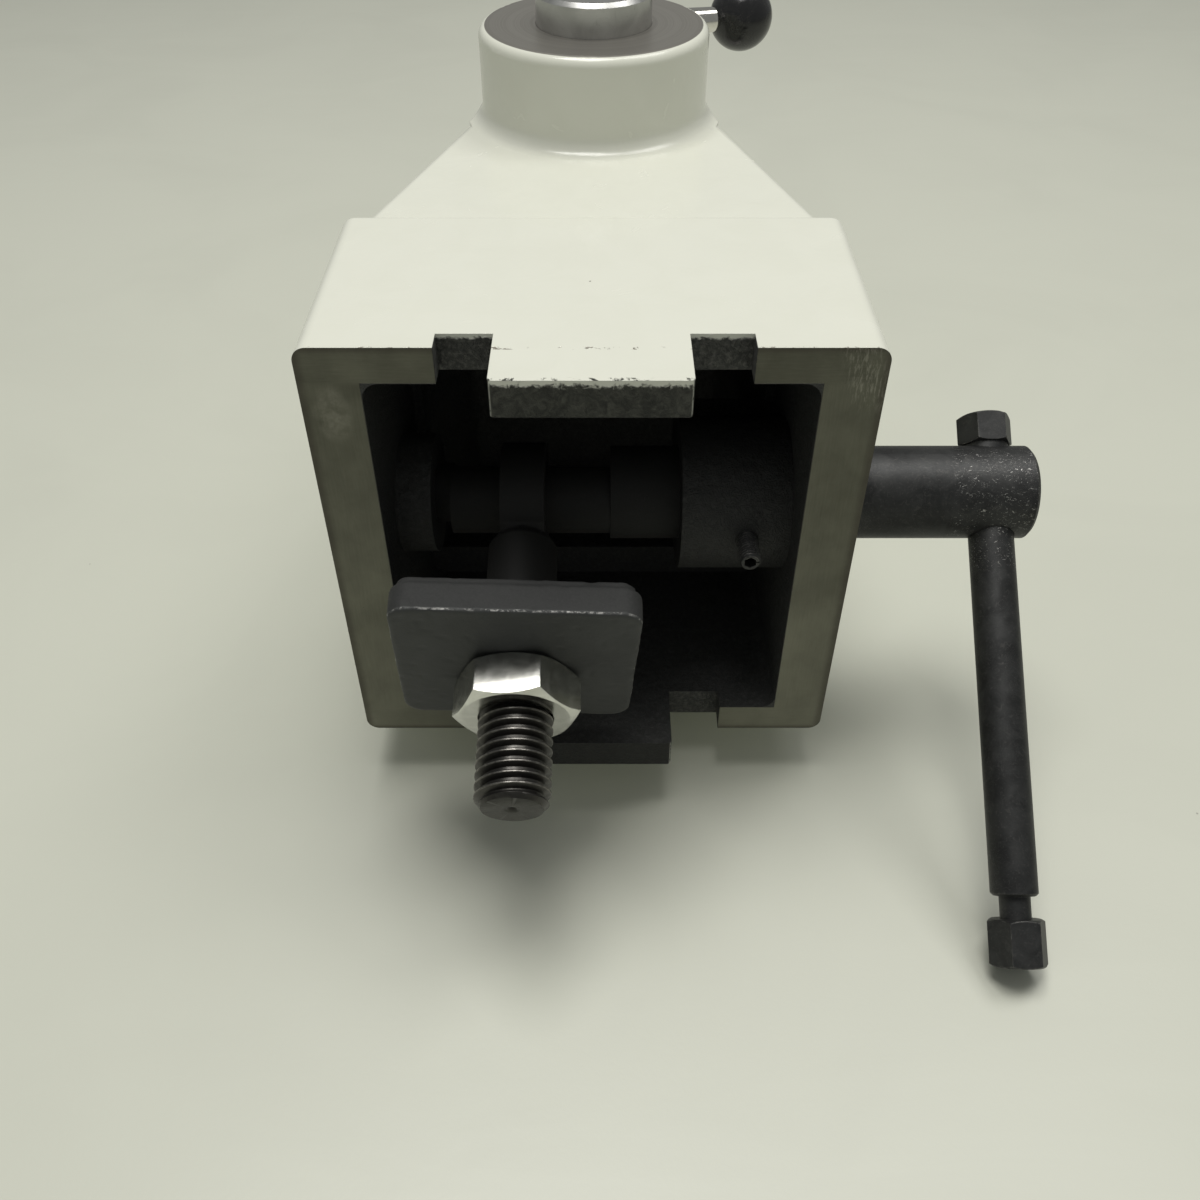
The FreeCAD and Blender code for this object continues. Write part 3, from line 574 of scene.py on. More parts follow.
@dataclass(frozen=True)
class OiledThread(Finish):
    """Dark bolt steel: oil in the roots of the thread and rubbed steel on its crests."""

    origin: Triple
    axis: Triple
    crest: float
    root: float
    tip: float
    hidden: float = 0.030
    name: str = "oiled_bolt_steel"

    def skin(self, shader: Shader) -> Material:
        """Grades from the roots to the crests, and shows the sawn tip brighter."""
        along, off = shader.about(self.origin, self.axis)
        height = off.rises(self.root, self.crest)
        rub = shader.noise(0.0014, 5.0, 0.7, 0.6).rises(0.38, 0.66)
        grain = shader.noise(0.00045, 4.0, 0.6, shift=2.0)
        oil = shader.noise(0.004, 3.0, 0.5, 0.8, shift=4.0).rises(0.4, 0.62)
        colour = shader.mix(oil * 0.6, (0.036, 0.0345, 0.032), (0.066, 0.0635, 0.059))
        base = Skin(colour, 0.34 - 0.12 * oil + 0.16 * grain, 0.85, grain * 2.4e-5)
        crest = off.rises(self.crest - 0.00022, self.crest - 0.00006)
        base = shader.laid(crest * (0.2 + rub * 0.6), base, Skin((0.25, 0.24, 0.222), 0.32, 0.95))
        base = Skin(shader.mix(height * 0.2, base.colour, (0.13, 0.124, 0.115)), base.rough, base.metal, base.relief)
        saw = shader.noise(0.0005, 3.0, 0.6, 0.0, (9.0, 1.0, 1.0), shift=6.0)
        face = Skin(shader.mix(saw * 0.4 + rub * 0.35, (0.045, 0.0445, 0.042), (0.10, 0.098, 0.092)),
                    0.46, 0.8, saw * 1.6e-5 + grain * 2e-5)
        base = shader.laid(along.rises(self.tip - 4e-5, self.tip - 1e-5), base, face)
        dirt = shader.noise(0.0022, 4.0, 0.7, 0.6, shift=9.0).rises(0.56, 0.72)
        base = shader.laid(dirt * 0.4, base, Skin((0.032, 0.03, 0.027), 0.62, 0.2))
        base = shader.laid(along.falls(self.hidden, self.hidden + 0.002), base,
                           Skin((0.008, 0.008, 0.0075), 0.7, 0.0, grain * 4e-5))
        return shader.finish(base, 0.00015)


@dataclass(frozen=True)
class BrightZinc(Finish):
    """Bright zinc-plated steel, tumbled and a little dulled."""

    name: str = "bright_zinc"

    def skin(self, shader: Shader) -> Material:
        """Fine tumbling marks, dull clouds and a few dark nicks."""
        cloud = shader.noise(0.0042, 5.0, 0.6, 0.8).rises(0.32, 0.7)
        grain = shader.noise(0.00038, 3.0, 0.6, shift=3.0)
        drawn = shader.noise(0.0003, 3.0, 0.6, 0.0, (1.0, 12.0, 1.0), shift=5.0)
        nick = shader.noise(0.0007, 3.0, 0.7, 0.6, shift=8.0).rises(0.72, 0.8)
        colour = shader.mix(cloud, (0.62, 0.62, 0.58), (0.76, 0.76, 0.72))
        colour = shader.mix(nick * 0.5, colour, (0.25, 0.245, 0.225))
        base = Skin(colour, 0.15 + 0.07 * cloud + 0.08 * grain, 1.0, grain * 5e-6 + drawn * 5e-6 - nick * 1e-5)
        wear = shader.edges(0.0005)
        return shader.finish(shader.laid(wear * 0.5, base, Skin((0.86, 0.86, 0.84), 0.2, 1.0)), 0.0003)


@dataclass(frozen=True)
class PlateScale(Finish):
    """Flame-cut plate: dark mill scale, rough edges that are partly painted shade, and a bright burr where the cut
    left one.
    """

    origin: Triple
    axis: Triple
    face: float
    name: str = "scaled_plate_steel"

    def skin(self, shader: Shader) -> Material:
        """Scale in patches, near black cut steel with painted shade on every face but the outer one, and the burr on
        the edges of the outer face.
        """
        along, _ = shader.about(self.origin, self.axis)
        patch = shader.noise(0.013, 3.0, 0.55, 0.3).rises(0.25, 0.75)
        grain = shader.noise(0.00055, 5.0, 0.68, shift=3.0)
        lumps = shader.noise(0.0021, 3.0, 0.5, shift=6.0)
        pit = shader.noise(0.0012, 3.0, 0.65, 0.4, shift=9.0).rises(0.68, 0.76)
        colour = shader.mix(patch * 0.5 + grain * 0.5, (0.034, 0.0355, 0.0355), (0.062, 0.0645, 0.064))
        colour = shader.mix(pit * 0.5, colour, (0.018, 0.018, 0.018))
        base = Skin(colour, 0.5 + 0.16 * grain, 0.4, grain * 5e-5 + lumps * 6e-5 - pit * 4e-5)
        # Painted shade, partly: every face but the outer one is laid near black, both dark flame-cut steel and the
        # shadow that the casting's upper wall and tongue cast on the plate's top.
        cut_sides_and_painted_shade = along.falls(self.face - 0.0012, self.face - 0.0008)
        cut = Skin(shader.mix(grain, (0.010, 0.0105, 0.0105), (0.034, 0.035, 0.0345)), 0.78, 0.1,
                   grain * 8e-5 + lumps * 1.2e-4)
        base = shader.laid(cut_sides_and_painted_shade * 0.9, base, cut)
        burr = along.inside(self.face - 0.00085, self.face - 0.00045, 0.00012)
        burr = burr * shader.noise(0.0014, 4.0, 0.75, 0.6, shift=12.0).rises(0.48, 0.62)
        return shader.finish(shader.laid(burr * 0.7, base, Skin((0.42, 0.415, 0.40), 0.4, 0.95)), 0.0003)


@dataclass(frozen=True)
class TurnedMetal(Finish):
    """Metal turned on a lathe: fine rings about an axis, faint clouds and bright edges."""

    name: str = "turned_metal"
    origin: Triple = (0.0, 0.127, 0.0)
    axis: Triple = (0.0, 0.0, 1.0)
    dark: Triple = (0.42, 0.42, 0.41)
    light: Triple = (0.60, 0.60, 0.585)
    rough: float = 0.26
    rings: float = 0.00022
    depth: float = 4e-6
    graduated: Pair | None = None

    def skin(self, shader: Shader) -> Material:
        """Rings from the tool, with a scale of lines engraved on one side where it is graduated."""
        along, off = shader.about(self.origin, self.axis)
        ring = shader.noise(self.rings, 3.0, 0.6, place=shader.vector(along, off, 0.0))
        broad = shader.noise(self.rings * 9.0, 2.0, 0.5, place=shader.vector(along, off, 3.0))
        cloud = shader.noise(0.009, 5.0, 0.6, 0.9).rises(0.32, 0.72)
        stain = shader.noise(0.0033, 5.0, 0.7, 1.4, shift=6.0).rises(0.6, 0.74)
        colour = shader.mix(cloud * 0.6 + ring * 0.4, self.dark, self.light)
        colour = shader.mix(stain * 0.3, colour, tuple(c * 0.35 for c in self.dark))
        base = Skin(colour, self.rough + 0.1 * ring + 0.06 * cloud, 1.0, ring * self.depth + broad * self.depth)
        wear = shader.edges(0.0004)
        bright = Skin(tuple(min(0.9, c * 1.3) for c in self.light), self.rough * 0.8, 1.0)
        base = shader.laid(wear * 0.6, base, bright)
        if self.graduated:
            base = self._scale(shader, base, along)
        return shader.finish(base, 0.0002)

    def _scale(self, shader: Shader, base: Skin, along: Value) -> Skin:
        """Engraves lines every eighth of an inch, longer at each half inch."""
        x, y, _ = shader.parts(shader.place)
        step = INCH / 8
        line = abs((along + step * 80.5) % step - step / 2).falls(0.00009, 0.00016)
        half = abs((along + step * 80.0 + step * 2) % (step * 4) - step * 2).falls(step * 0.45, step * 0.5)
        reach = 0.0022 + half * 0.0022
        arc = abs(x) - reach
        mark = line * arc.falls(-0.0001, 0.0001) * y.rises(self.origin[1], self.origin[1] + 0.001)
        mark = mark * along.inside(self.graduated[0], self.graduated[1], 1e-4)
        return shader.laid(mark, base, Skin((0.03, 0.03, 0.03), 0.6, 0.4, -6e-5))


@dataclass(frozen=True)
class PolishedArm(Finish):
    """Nickel-plated steel, polished by hand."""

    name: str = "nickel_plate"

    def skin(self, shader: Shader) -> Material:
        """A mirror with slight waves, haze and fine hairlines."""
        haze = shader.noise(0.006, 5.0, 0.6, 0.9).rises(0.4, 0.75)
        waves = shader.noise(0.004, 2.0, 0.5, shift=2.0)
        hair = shader.noise(0.00025, 2.0, 0.6, 0.4, (14.0, 1.0, 1.0), shift=5.0)
        colour = shader.mix(haze, (0.66, 0.645, 0.61), (0.55, 0.535, 0.5))
        return shader.finish(Skin(colour, 0.12 + 0.14 * haze, 1.0, waves * 2.4e-5 + hair * 3e-6), 0.0002)


@dataclass(frozen=True)
class MouldedKnob(Finish):
    """Black phenolic moulding, glossy with a fine haze of handling."""

    name: str = "black_phenolic"

    def skin(self, shader: Shader) -> Material:
        """Near black, with dust in the haze and a faint flow pattern."""
        haze = shader.noise(0.0034, 5.0, 0.65, 1.2).rises(0.4, 0.72)
        flow = shader.noise(0.006, 3.0, 0.5, 1.5, shift=3.0)
        dust = shader.specks(0.0014, 0.07)
        colour = shader.mix(haze * 0.4, (0.011, 0.011, 0.012), (0.028, 0.027, 0.026))
        colour = shader.mix(dust * 0.35, colour, (0.12, 0.115, 0.1))
        return shader.finish(Skin(colour, 0.16 + 0.16 * haze, 0.0, flow * 3e-5), 0.0003)


@dataclass(frozen=True)
class TableTop(Finish):
    """Pale laminate bench top, softly worn."""

    name: str = "pale_laminate"
    colour: Triple = (0.60, 0.612, 0.53)
    stained: float = 0.955

    def skin(self, shader: Shader) -> Material:
        """An even colour with faint stains, wiping marks and a fine texture."""
        stain = shader.noise(0.09, 4.0, 0.55, 0.8).rises(0.35, 0.75)
        wipe = shader.noise(0.012, 4.0, 0.6, 0.6, (5.0, 1.0, 1.0), shift=4.0)
        grain = shader.noise(0.0011, 2.0, 0.5, shift=7.0)
        dust = shader.specks(0.031, 0.012)
        darker = tuple(c * self.stained for c in self.colour)
        colour = shader.mix(stain * 0.7 + wipe * 0.25, self.colour, darker)
        colour = shader.mix(dust * 0.6, colour, (0.2, 0.19, 0.17))
        return shader.finish(Skin(colour, 0.36 + 0.1 * wipe, 0.0, grain * 1.6e-5), 0.0)


# --- mesh making
class ScrewEnd(Enum):
    """What is cut into the end of a screw."""

    DIMPLE = "centre-drill dimple"
    SOCKET = "hexagon socket"


def local_frame(origin: Vector, axis: Vector, across: Vector) -> Matrix:
    """A right-handed frame.

    Args:
        origin: its origin in the row frame.
        axis: its Z direction.
        across: roughly its X direction.

    Returns:
        The matrix from the local frame to the row frame.
    """
    z = axis.normalized()
    y = z.cross(across).normalized()
    turn = Matrix((y.cross(z), y, z)).transposed().to_4x4()
    return Matrix.Translation(origin) @ turn


def in_scene(name: str, data: bpy.types.ID) -> Object:
    """A new object, linked to the scene."""
    thing = bpy.data.objects.new(name, data)
    bpy.context.scene.collection.objects.link(thing)
    return thing


def new_piece(name: str, bm: BMesh, place: Matrix, crease: float = 32.0) -> Object:
    """Turns a built mesh into an object whose vertices are in the row frame.

    Args:
        name: the piece's name.
        bm: the mesh, which is freed.
        place: the matrix from the mesh's frame to the row frame.
        crease: edges sharper than this many degrees stay sharp.

    Returns:
        The object.
    """
    bmesh.ops.recalc_face_normals(bm, faces=bm.faces[:])
    bm.transform(place)
    mesh = bpy.data.meshes.new(name)
    bm.to_mesh(mesh)
    bm.free()
    mesh.shade_smooth()
    mesh.set_sharp_from_angle(angle=math.radians(crease))
    return in_scene(name, mesh)


@dataclass(frozen=True)
class ScrewThread:
    """A right-hand V thread about local Z, closed at both ends."""

    radius: float
    pitch: float
    depth: float
    start: float
    end: float
    chamfer: float
    steps: int = 72

    PHASES = ((0.0, 0.0), (0.125, 0.0), (0.28, 0.5), (0.4375, 1.0), (0.6875, 1.0), (0.845, 0.5))

    def _radius_at(self, height: float, cut: float) -> float:
        """The thread's radius at a height, for a share of the full depth, faded out at the start."""
        runout = min(1.0, max(0.0, (height - self.start) / (1.2 * self.pitch)))
        cone = self.radius - self.chamfer + max(0.0, self.end - height)
        return min(self.radius - self.depth * cut * runout, cone)

    def build(self, bm: BMesh) -> list[BMEdge]:
        """Adds the thread to a mesh and closes its start.

        Args:
            bm: the mesh.

        Returns:
            The ring of edges at the open end.
        """
        per_turn = len(self.PHASES)
        turns = int((self.end - self.start) / self.pitch) + 4
        rows = []
        for row in range(turns * per_turn):
            phase, cut = self.PHASES[row % per_turn]
            low = self.start + (row // per_turn - 2 + phase) * self.pitch
            ring = []
            for step in range(self.steps):
                angle = math.tau * step / self.steps
                height = low + self.pitch * step / self.steps
                reach = self._radius_at(height, cut)
                ring.append(bm.verts.new((reach * math.cos(angle), reach * math.sin(angle), height)))
            rows.append(ring)
        for row in range(len(rows) - per_turn - 1):
            for step in range(self.steps):
                last = step + 1 == self.steps
                right, lift = (0, per_turn) if last else (step + 1, 0)
                bm.faces.new((rows[row][step], rows[row + lift][right], rows[row + lift + 1][right],
                              rows[row + 1][step]))
        for height, side in ((self.start, -1.0), (self.end, 1.0)):
            bmesh.ops.bisect_plane(bm, geom=bm.verts[:] + bm.edges[:] + bm.faces[:], dist=1e-7,
                                   plane_co=(0.0, 0.0, height), plane_no=(0.0, 0.0, side), clear_outer=True)
        bmesh.ops.delete(bm, geom=[v for v in bm.verts if not v.link_faces], context="VERTS")
        self._narrow(bm, self._open_edges(bm, self.start), 0.0, self.start)
        return self._open_edges(bm, self.end)

    @staticmethod
    def _open_edges(bm: BMesh, height: float) -> list[BMEdge]:
        """The open edges at a height."""
        return [e for e in bm.edges if e.is_boundary and all(abs(v.co.z - height) < TOUCHING for v in e.verts)]

    @staticmethod
    def _narrow(bm: BMesh, ring: list[BMEdge], reach: float, height: float,
                sides: int = 0) -> list[BMEdge]:
        """Carries a ring of edges on to a new radius and height.

        Args:
            bm: the mesh.
            ring: the open edges.
            reach: the new radius, or 0 to close the ring at a point.
            height: the new height.
            sides: 0 for a circle, or the number of flats that the radius is measured to.

        Returns:
            The new ring of edges, empty where it was closed.
        """
        made = bmesh.ops.extrude_edge_only(bm, edges=ring)["geom"]
        verts = [g for g in made if isinstance(g, BMVert)]
        edges = edges_in(made)
        for vert in verts:
            angle = math.atan2(vert.co.y, vert.co.x)
            span = math.tau / sides if sides else 1.0
            flat = math.cos((angle + span / 2) % span - span / 2) if sides else 1.0
            vert.co = (reach / flat * math.cos(angle), reach / flat * math.sin(angle), height)
        if reach == 0.0:
            bmesh.ops.remove_doubles(bm, verts=verts, dist=TOUCHING)
            return []
        return [e for e in edges if e.is_boundary]

    def close(self, bm: BMesh, ring: list[BMEdge], kind: ScrewEnd, size: float,
              depth: float) -> None:
        """Closes the open end with a dimple or a socket.

        Args:
            bm: the mesh.
            ring: the open end's edges.
            kind: what is cut into the end.
            size: the dimple's radius, or half the socket's width across flats.
            depth: how deep it goes.
        """
        if kind is ScrewEnd.DIMPLE:
            for share, sink in ((1.6, 0.0), (1.0, 0.08), (0.45, 0.62)):
                ring = self._narrow(bm, ring, size * share, self.end - depth * sink)
            self._narrow(bm, ring, 0.0, self.end - depth)
            return
        ring = self._narrow(bm, ring, size * 1.06, self.end, 6)
        ring = self._narrow(bm, ring, size, self.end - size * 0.08, 6)
        ring = self._narrow(bm, ring, size, self.end - depth, 6)
        self._narrow(bm, ring, 0.0, self.end - depth - size * 0.4)


def joint(name: str) -> dict[str, Any]:
    """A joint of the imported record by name."""
    return next(j for j in frame["joints"] if j["name"] == name)


def node(name: str) -> Object:
    """A CAD node by name."""
    return frame["nodes"][name]


def edges_in(geometry: Sequence[Any]) -> list[BMEdge]:
    """The edges in a mixed list of mesh parts."""
    return [g for g in geometry if isinstance(g, BMEdge)]


def cad_mesh(name: str, place: Matrix) -> BMesh:
    """Copies a CAD node's mesh into another frame and joins its seams.

    Args:
        name: the node.
        place: the matrix from that frame to the row frame.

    Returns:
        The mesh.
    """
    bm = bmesh.new()
    bm.from_mesh(node(name).data)
    bm.transform(place.inverted())
    bmesh.ops.remove_doubles(bm, verts=bm.verts[:], dist=TOUCHING)
    return bm


def add_cad_end(bm: BMesh, name: str, place: Matrix, height: float) -> None:
    """Adds what a CAD node has below a height, closed where it is cut.

    Args:
        bm: the mesh to add to.
        name: the node.
        place: the matrix from the mesh's frame to the row frame.
        height: where the node is cut, along the mesh's Z.
    """
    end = cad_mesh(name, place)
    cut = bmesh.ops.bisect_plane(end, geom=end.verts[:] + end.edges[:] + end.faces[:], dist=TOUCHING,
                                 plane_co=(0.0, 0.0, height), plane_no=(0.0, 0.0, 1.0), clear_outer=True)
    bmesh.ops.edgeloop_fill(end, edges=edges_in(cut["geom_cut"]))
    mesh = bpy.data.meshes.new("cad_end")
    end.to_mesh(mesh)
    end.free()
    bm.from_mesh(mesh)
    bpy.data.meshes.remove(mesh)


@dataclass(frozen=True)
class BoltLine:
    """The clamp bolt's axis, from its pivot on the eccentric journal outwards."""

    pivot: Vector
    way: Vector

    @classmethod
    def of(cls, name: str) -> "BoltLine":
        """The line as a joint along the bolt gives it."""
        return cls(Vector(joint("bolt_pivot")["pos_m"]), Vector(joint(name)["axis"]).normalized())

    def place(self) -> Matrix:
        """The matrix from the bolt's frame to the row frame."""
        return local_frame(self.pivot, self.way, Vector((1, 0, 0)))

    def reach(self, name: str) -> float:
        """How far a CAD node goes along the line."""
        return max((v.co - self.pivot).dot(self.way) for v in node(name).data.vertices)


# --- assemblies
@dataclass
class Assembly:
    """A group of pieces that is built and dressed together."""

    pieces: list[Object] = field(default_factory=list)

    def build(self) -> None:
        """Builds meshes that take the place of CAD nodes, where there are any."""

    def dress(self) -> None:
        """Gives every piece its finish."""
        raise NotImplementedError

    def stand_for(self, piece: Object, cad_node: str, body: str, slot: str) -> None:
        """Puts a new piece in the place of a CAD node.

        Args:
            piece: the new piece.
            cad_node: the node it stands for.
            body: the body it rides on.
            slot: the record's material slot; not used.
        """
        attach(piece, body)
        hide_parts(cad_node)
        self.pieces.append(piece)


@dataclass
class Casting(Assembly):
    """The painted body with its quill bore, and the bearing pieces screwed to its rear."""

    screw_radius: float = 0.0025
    screw_pitch: float = 0.0008
    screw_depth: float = 0.00043
    socket: float = 0.00125
    socket_depth: float = 0.003
    screw_chamfer: float = 0.00055

    def build(self) -> None:
        """Threads the clamp shaft's retaining screw, whose end shows in the base's hollow."""
        low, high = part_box("shaft_retaining_screw")
        middle = (low + high) / 2
        place = local_frame(Vector((middle.x, high.y, middle.z)), Vector((0, -1, 0)), Vector((1, 0, 0)))
        bm = bmesh.new()
        thread = ScrewThread(self.screw_radius, self.screw_pitch, self.screw_depth, 0.0, high.y - low.y,
                             self.screw_chamfer, 48)
        thread.close(bm, thread.build(bm), ScrewEnd.SOCKET, self.socket, self.socket_depth)
        self.stand_for(new_piece("retaining_screw_threaded", bm, place), "shaft_retaining_screw", "casting",
                       "blackened_steel")

    def dress(self) -> None:
        """Paints the casting and finishes its small parts."""
        CastPaint().dress(node("tailstock_body"))
        BlackOxide("black_screw_steel", (0.035, 0.0, 0.0), (0.0, 1.0, 0.0)).dress(*self.pieces)
        BlackOxide("black_cap_screws", (0.0, 0.127, 0.0), (0.0, 0.0, 1.0)).dress(node("retainer_screws"))
        TurnedMetal("turned_iron_retainer", dark=(0.2, 0.19, 0.18), light=(0.36, 0.35, 0.33), rough=0.4,
                    rings=0.0004, depth=9e-6).dress(node("screw_retainer"))
        TurnedMetal("bearing_bronze", **BRONZE, rough=0.3).dress(node("thrust_washer_inner"),
                                                                 node("thrust_washer_outer"))


@dataclass
class ClampShaft(Assembly):
    """The cam shaft that the lever turns."""

    scuffed: Pair = (0.0835, 0.1035)
    greased: float = 0.046

    def dress(self) -> None:
        """Blackens the shaft, with scuffs round the bar's hole and grease where it runs."""
        axis = joint("clamp_turn")
        BlackOxide("black_oxide_shaft", tuple(axis["pos_m"]), tuple(axis["axis"]), self.scuffed,
                   self.greased).dress(node("cam_shaft"))


@dataclass
class Lever(Assembly):
    """The sliding T-bar and its screwed-on cap."""

    def dress(self) -> None:
        """Blackens the bar and its cap, both a little rough from the forge."""
        way = Vector(joint("lever_slide")["axis"]).normalized()
        origin = (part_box("lever_bar")[0].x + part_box("lever_bar")[1].x) / 2
        BlackOxide("black_oxide_bar", (origin, joint("clamp_turn")["pos_m"][1], 0.0), tuple(way), (-0.02, 0.004),
                   forged=4e-5).dress(node("lever_bar"), node("lever_cap"))


@dataclass
class ClampBolt(Assembly):
    """The eye bolt: the eye and shank from the CAD, and a real thread from the plate outwards."""

    radius: float = 0.0079375
    pitch: float = INCH / 11
    depth: float = 0.00135
    chamfer: float = 0.0016
    thread_start: float = 0.030
    dimple: float = 0.00115
    dimple_depth: float = 0.0011

    def build(self) -> None:
        """Cuts the CAD shank where the thread starts and threads the rest."""
        line = BoltLine.of("nut_turn")
        place = line.place()
        tip = line.reach("clamp_bolt")
        bm = bmesh.new()
        thread = ScrewThread(self.radius, self.pitch, self.depth, self.thread_start, tip, self.chamfer, 96)
        thread.close(bm, thread.build(bm), ScrewEnd.DIMPLE, self.dimple, self.dimple_depth)
        add_cad_end(bm, "clamp_bolt", place, self.thread_start)
        self.stand_for(new_piece("clamp_bolt_threaded", bm, place), "clamp_bolt", "bolt", "bolt_steel")
        self.finish = OiledThread(tuple(line.pivot), tuple(line.way), self.radius, self.radius - self.depth, tip)

    def dress(self) -> None:
        """Oils the bolt."""
        self.finish.dress(*self.pieces)


@dataclass
class ClampNut(Assembly):
    """The nut that sets the clamp's height."""

    def dress(self) -> None:
        """Plates the nut."""
        BrightZinc().dress(node("clamp_nut"))


@dataclass
class ClampPlate(Assembly):
    """The thick plate that pulls up against the bed, with the waves and nicks that cutting left on it."""

    cell: float = 0.00055
    waves: float = 0.00016
    nicks: float = 0.00014
    wave_rate: float = 120.0
    nick_rate: float = 420.0
    hole: float = 0.0095
    crease: float = 50.0

    def build(self) -> None:
        """Dices the CAD plate evenly and roughens it."""
        line = BoltLine.of("plate_slide")
        place = line.place()
        plate = new_piece("clamp_plate_rough", cad_mesh("clamp_plate", place), Matrix.Identity(4))
        remesh = plate.modifiers.new("dice", "REMESH")
        remesh.mode = "VOXEL"
        remesh.voxel_size = self.cell
        diced = bpy.data.meshes.new_from_object(plate.evaluated_get(bpy.context.evaluated_depsgraph_get()))
        plate.modifiers.clear()
        bm = bmesh.new()
        bm.from_mesh(diced)
        bm.normal_update()
        for vert in bm.verts:
            wave = noise.noise(vert.co * self.wave_rate) * self.waves
            nick = max(0.0, noise.noise(vert.co * self.nick_rate) - 0.25) * self.nicks * 3.0
            outside = 1.0 if math.hypot(vert.co.x, vert.co.y) > self.hole else 0.0
            vert.co -= vert.normal * (abs(wave) + nick) * outside
        bpy.data.objects.remove(plate)
        bpy.data.meshes.remove(diced)
        self.stand_for(new_piece("clamp_plate_rough", bm, place, self.crease), "clamp_plate", "plate", "plate_iron")
        self.finish = PlateScale(tuple(line.pivot), tuple(line.way), line.reach("clamp_plate"))

    def dress(self) -> None:
        """Gives the plate its scale and burr."""
        self.finish.dress(*self.pieces)


@dataclass
class Quill(Assembly):
    """The quill with its scale, the nut in its rear end, and the lead screw inside it."""

    scale: Pair = (0.030, 0.079)

    def dress(self) -> None:
        """Grinds the quill, turns the screw and leaves the nut bronze."""
        TurnedMetal("ground_quill_steel", graduated=self.scale).dress(node("quill"))
        TurnedMetal("turned_screw_steel", dark=(0.3, 0.3, 0.29), light=(0.5, 0.5, 0.48)).dress(
            node("lead_screw"), node("handwheel_key"))
        TurnedMetal("quill_nut_bronze", **BRONZE, rough=0.3).dress(node("quill_nut"))


@dataclass
class Handwheel(Assembly):
    """The handwheel, which the part stands on, and its nut and washer."""

    def dress(self) -> None:
        """Turns the wheel and plates its nut and washer."""
        TurnedMetal("turned_wheel_iron", dark=(0.26, 0.25, 0.235), light=(0.5, 0.49, 0.465), rough=0.3,
                    rings=0.0003, depth=8e-6).dress(node("handwheel"))
        BrightZinc().dress(node("handwheel_nut"), node("handwheel_washer"))


@dataclass
class QuillLock(Assembly):
    """The clamp that holds the quill: stud, pad, arm and knob."""

    place: float = 0.062

    def dress(self) -> None:
        """Plates the arm, moulds the knob and blackens the stud."""
        PolishedArm().dress(node("quill_lock_arm"))
        MouldedKnob().dress(node("quill_lock_knob"))
        stud = (0.0, 0.0, self.place), (0.0, 1.0, 0.0)
        BlackOxide("black_oxide_stud", *stud).dress(node("quill_lock_stud"))
        TurnedMetal("lock_pad_bronze", *stud, **BRONZE).dress(node("quill_lock_pad"))


@dataclass
class KeyScrew(Assembly):
    """The dog-point screw that stops the quill from turning, with its locknut."""

    radius: float = 0.004
    pitch: float = 0.00125
    depth: float = 0.00068
    socket: float = 0.002
    socket_depth: float = 0.004
    chamfer: float = 0.0008
    seat: float = -0.016
    gap: float = 0.0001

    def build(self) -> None:
        """Threads the screw's body; the dog point stays as CAD made it."""
        low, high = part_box("quill_key_screw")
        middle = (low + high) / 2
        length = self.seat - low.x
        place = local_frame(Vector((self.seat, middle.y, middle.z)), Vector((-1, 0, 0)), Vector((0, 1, 0)))
        bm = bmesh.new()
        thread = ScrewThread(self.radius, self.pitch, self.depth, 0.0, length, self.chamfer, 60)
        thread.close(bm, thread.build(bm), ScrewEnd.SOCKET, self.socket, self.socket_depth)
        add_cad_end(bm, "quill_key_screw", place, -self.gap)
        self.stand_for(new_piece("key_screw_threaded", bm, place), "quill_key_screw", "casting", "blackened_steel")

    def dress(self) -> None:
        """Blackens the screw and plates its nut."""
        BlackOxide("black_key_screw", (0.0, 0.127, 0.020), (1.0, 0.0, 0.0)).dress(*self.pieces)
        BrightZinc().dress(node("quill_key_locknut"))


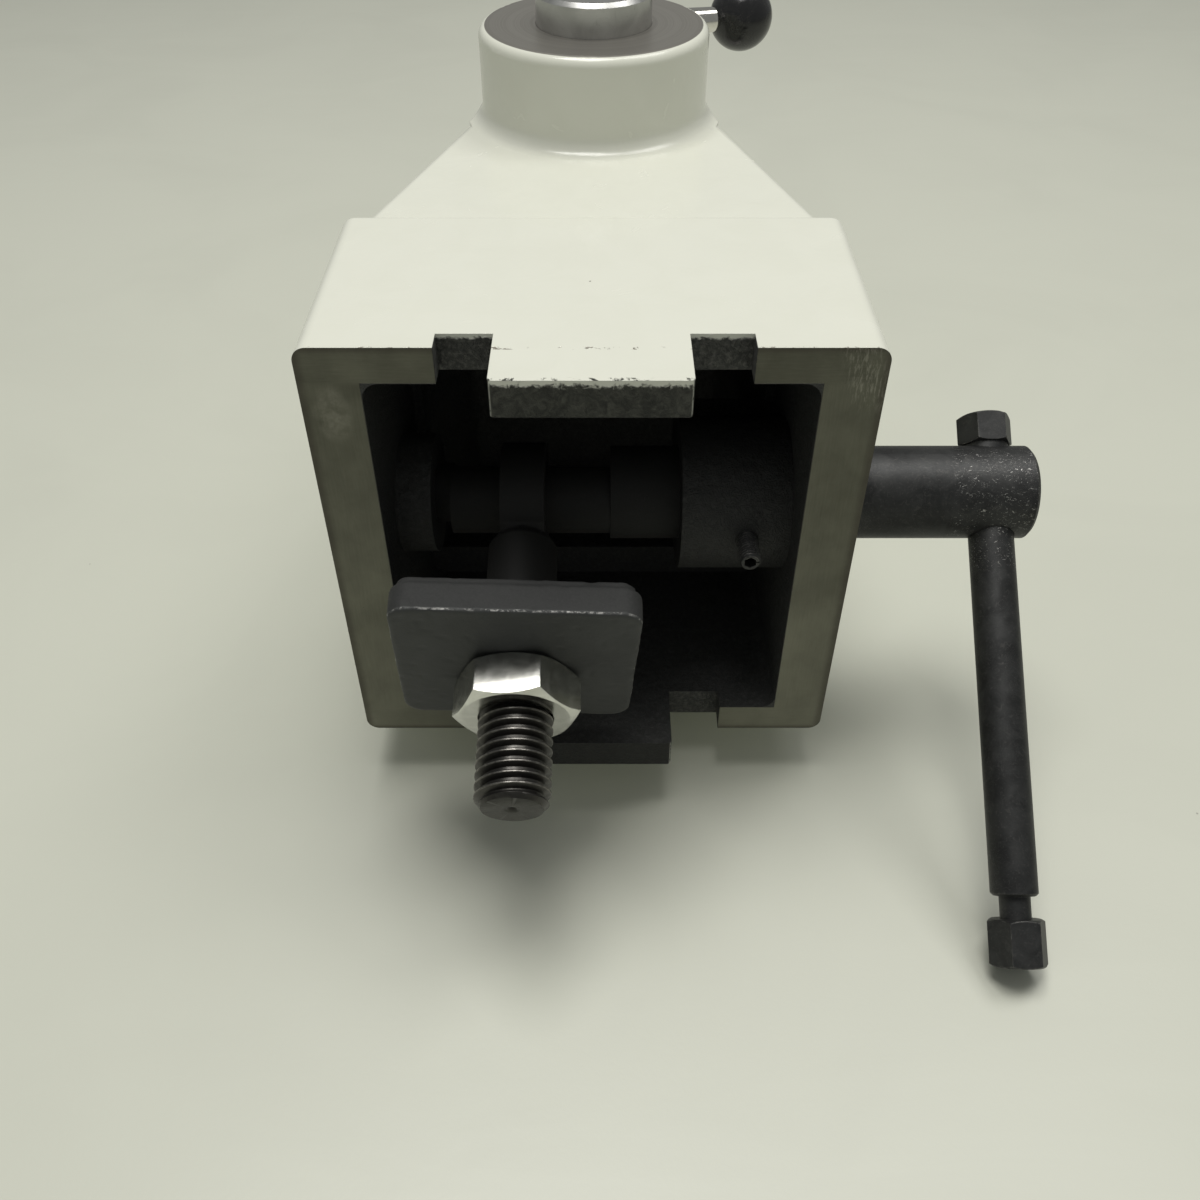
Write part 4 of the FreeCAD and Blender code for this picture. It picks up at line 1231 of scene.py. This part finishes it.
# --- stage
@dataclass
class Stage:
    """The bench top, the light and the camera."""

    half_floor: float = 3.0
    sky: Triple = (0.84, 0.86, 0.83)
    sky_strength: float = 0.3
    lamp_place: Triple = (-0.08, 0.12, 1.25)
    lamp_size: Pair = (0.55, 0.6)
    lamp_power: float = 10.6
    side_place: Triple = (0.52, 0.3, 1.15)
    side_size: Pair = (0.5, 0.5)
    side_power: float = 4.2
    lamp_colour: Triple = (1.0, 0.985, 0.95)
    lamp_aim: Triple = (0.0, 0.04, 0.0)
    camera_place: Triple = (0.0016, -0.1884, 0.1624)
    camera_tilt: float = 47.5
    lens: float = 33.7
    nearest: float = 0.005
    floor_gap: float = 2e-5

    def build(self) -> None:
        """Makes the floor, lights the scene and sets the camera."""
        self._floor()
        self._world()
        self._lamp("overhead_lamp", self.lamp_place, self.lamp_size, self.lamp_power)
        self._lamp("side_lamp", self.side_place, self.side_size, self.side_power)
        self._camera()
        bpy.context.scene.view_settings.view_transform = "Standard"

    def _floor(self) -> None:
        """A wide bench top under the handwheel."""
        level = BOX_AT_LOAD[0].z - self.floor_gap
        mesh = bpy.data.meshes.new("bench_top")
        h = self.half_floor
        mesh.from_pydata([(-h, -h, level), (h, -h, level), (h, h, level), (-h, h, level)], [], [(0, 1, 2, 3)])
        floor = in_scene("bench_top", mesh)
        TableTop().dress(floor)

    def _world(self) -> None:
        """An even pale surround."""
        world = bpy.data.worlds.new("pale_surround")
        world.use_nodes = True
        background = world.node_tree.nodes["Background"]
        background.inputs["Color"].default_value = (*self.sky, 1.0)
        background.inputs["Strength"].default_value = self.sky_strength
        bpy.context.scene.world = world

    def _lamp(self, name: str, place: Triple, size: Pair, power: float) -> None:
        """Adds a soft lamp that faces the part.

        Args:
            name: the lamp's name.
            place: where it hangs.
            size: its width and depth.
            power: its power in watts.
        """
        lamp = bpy.data.lights.new(name, "AREA")
        lamp.shape = "RECTANGLE"
        lamp.size, lamp.size_y = size
        lamp.energy = power
        lamp.color = self.lamp_colour
        thing = in_scene(name, lamp)
        thing.location = place
        thing.rotation_euler = (Vector(place) - Vector(self.lamp_aim)).to_track_quat("Z", "Y").to_euler()

    def _camera(self) -> None:
        """Looks down into the open base from the bed's side."""
        lens = bpy.data.cameras.new("camera")
        lens.lens = self.lens
        lens.clip_start = self.nearest
        camera = in_scene("camera", lens)
        camera.location = self.camera_place
        camera.rotation_euler = (math.radians(self.camera_tilt), 0.0, 0.0)
        bpy.context.scene.camera = camera


def main() -> None:
    """Builds the stage and every assembly in order."""
    logging.basicConfig(level=logging.INFO, format="%(message)s")
    Stage().build()
    LOG.info("stage built")
    for assembly in (Casting(), ClampShaft(), Lever(), ClampBolt(), ClampNut(), ClampPlate(), Quill(), Handwheel(),
                     QuillLock(), KeyScrew()):
        assembly.build()
        assembly.dress()
        LOG.info("%s built, new pieces: %s", type(assembly).__name__,
                 ", ".join(p.name for p in assembly.pieces) or "none")


if __name__ == "__main__":
    main()
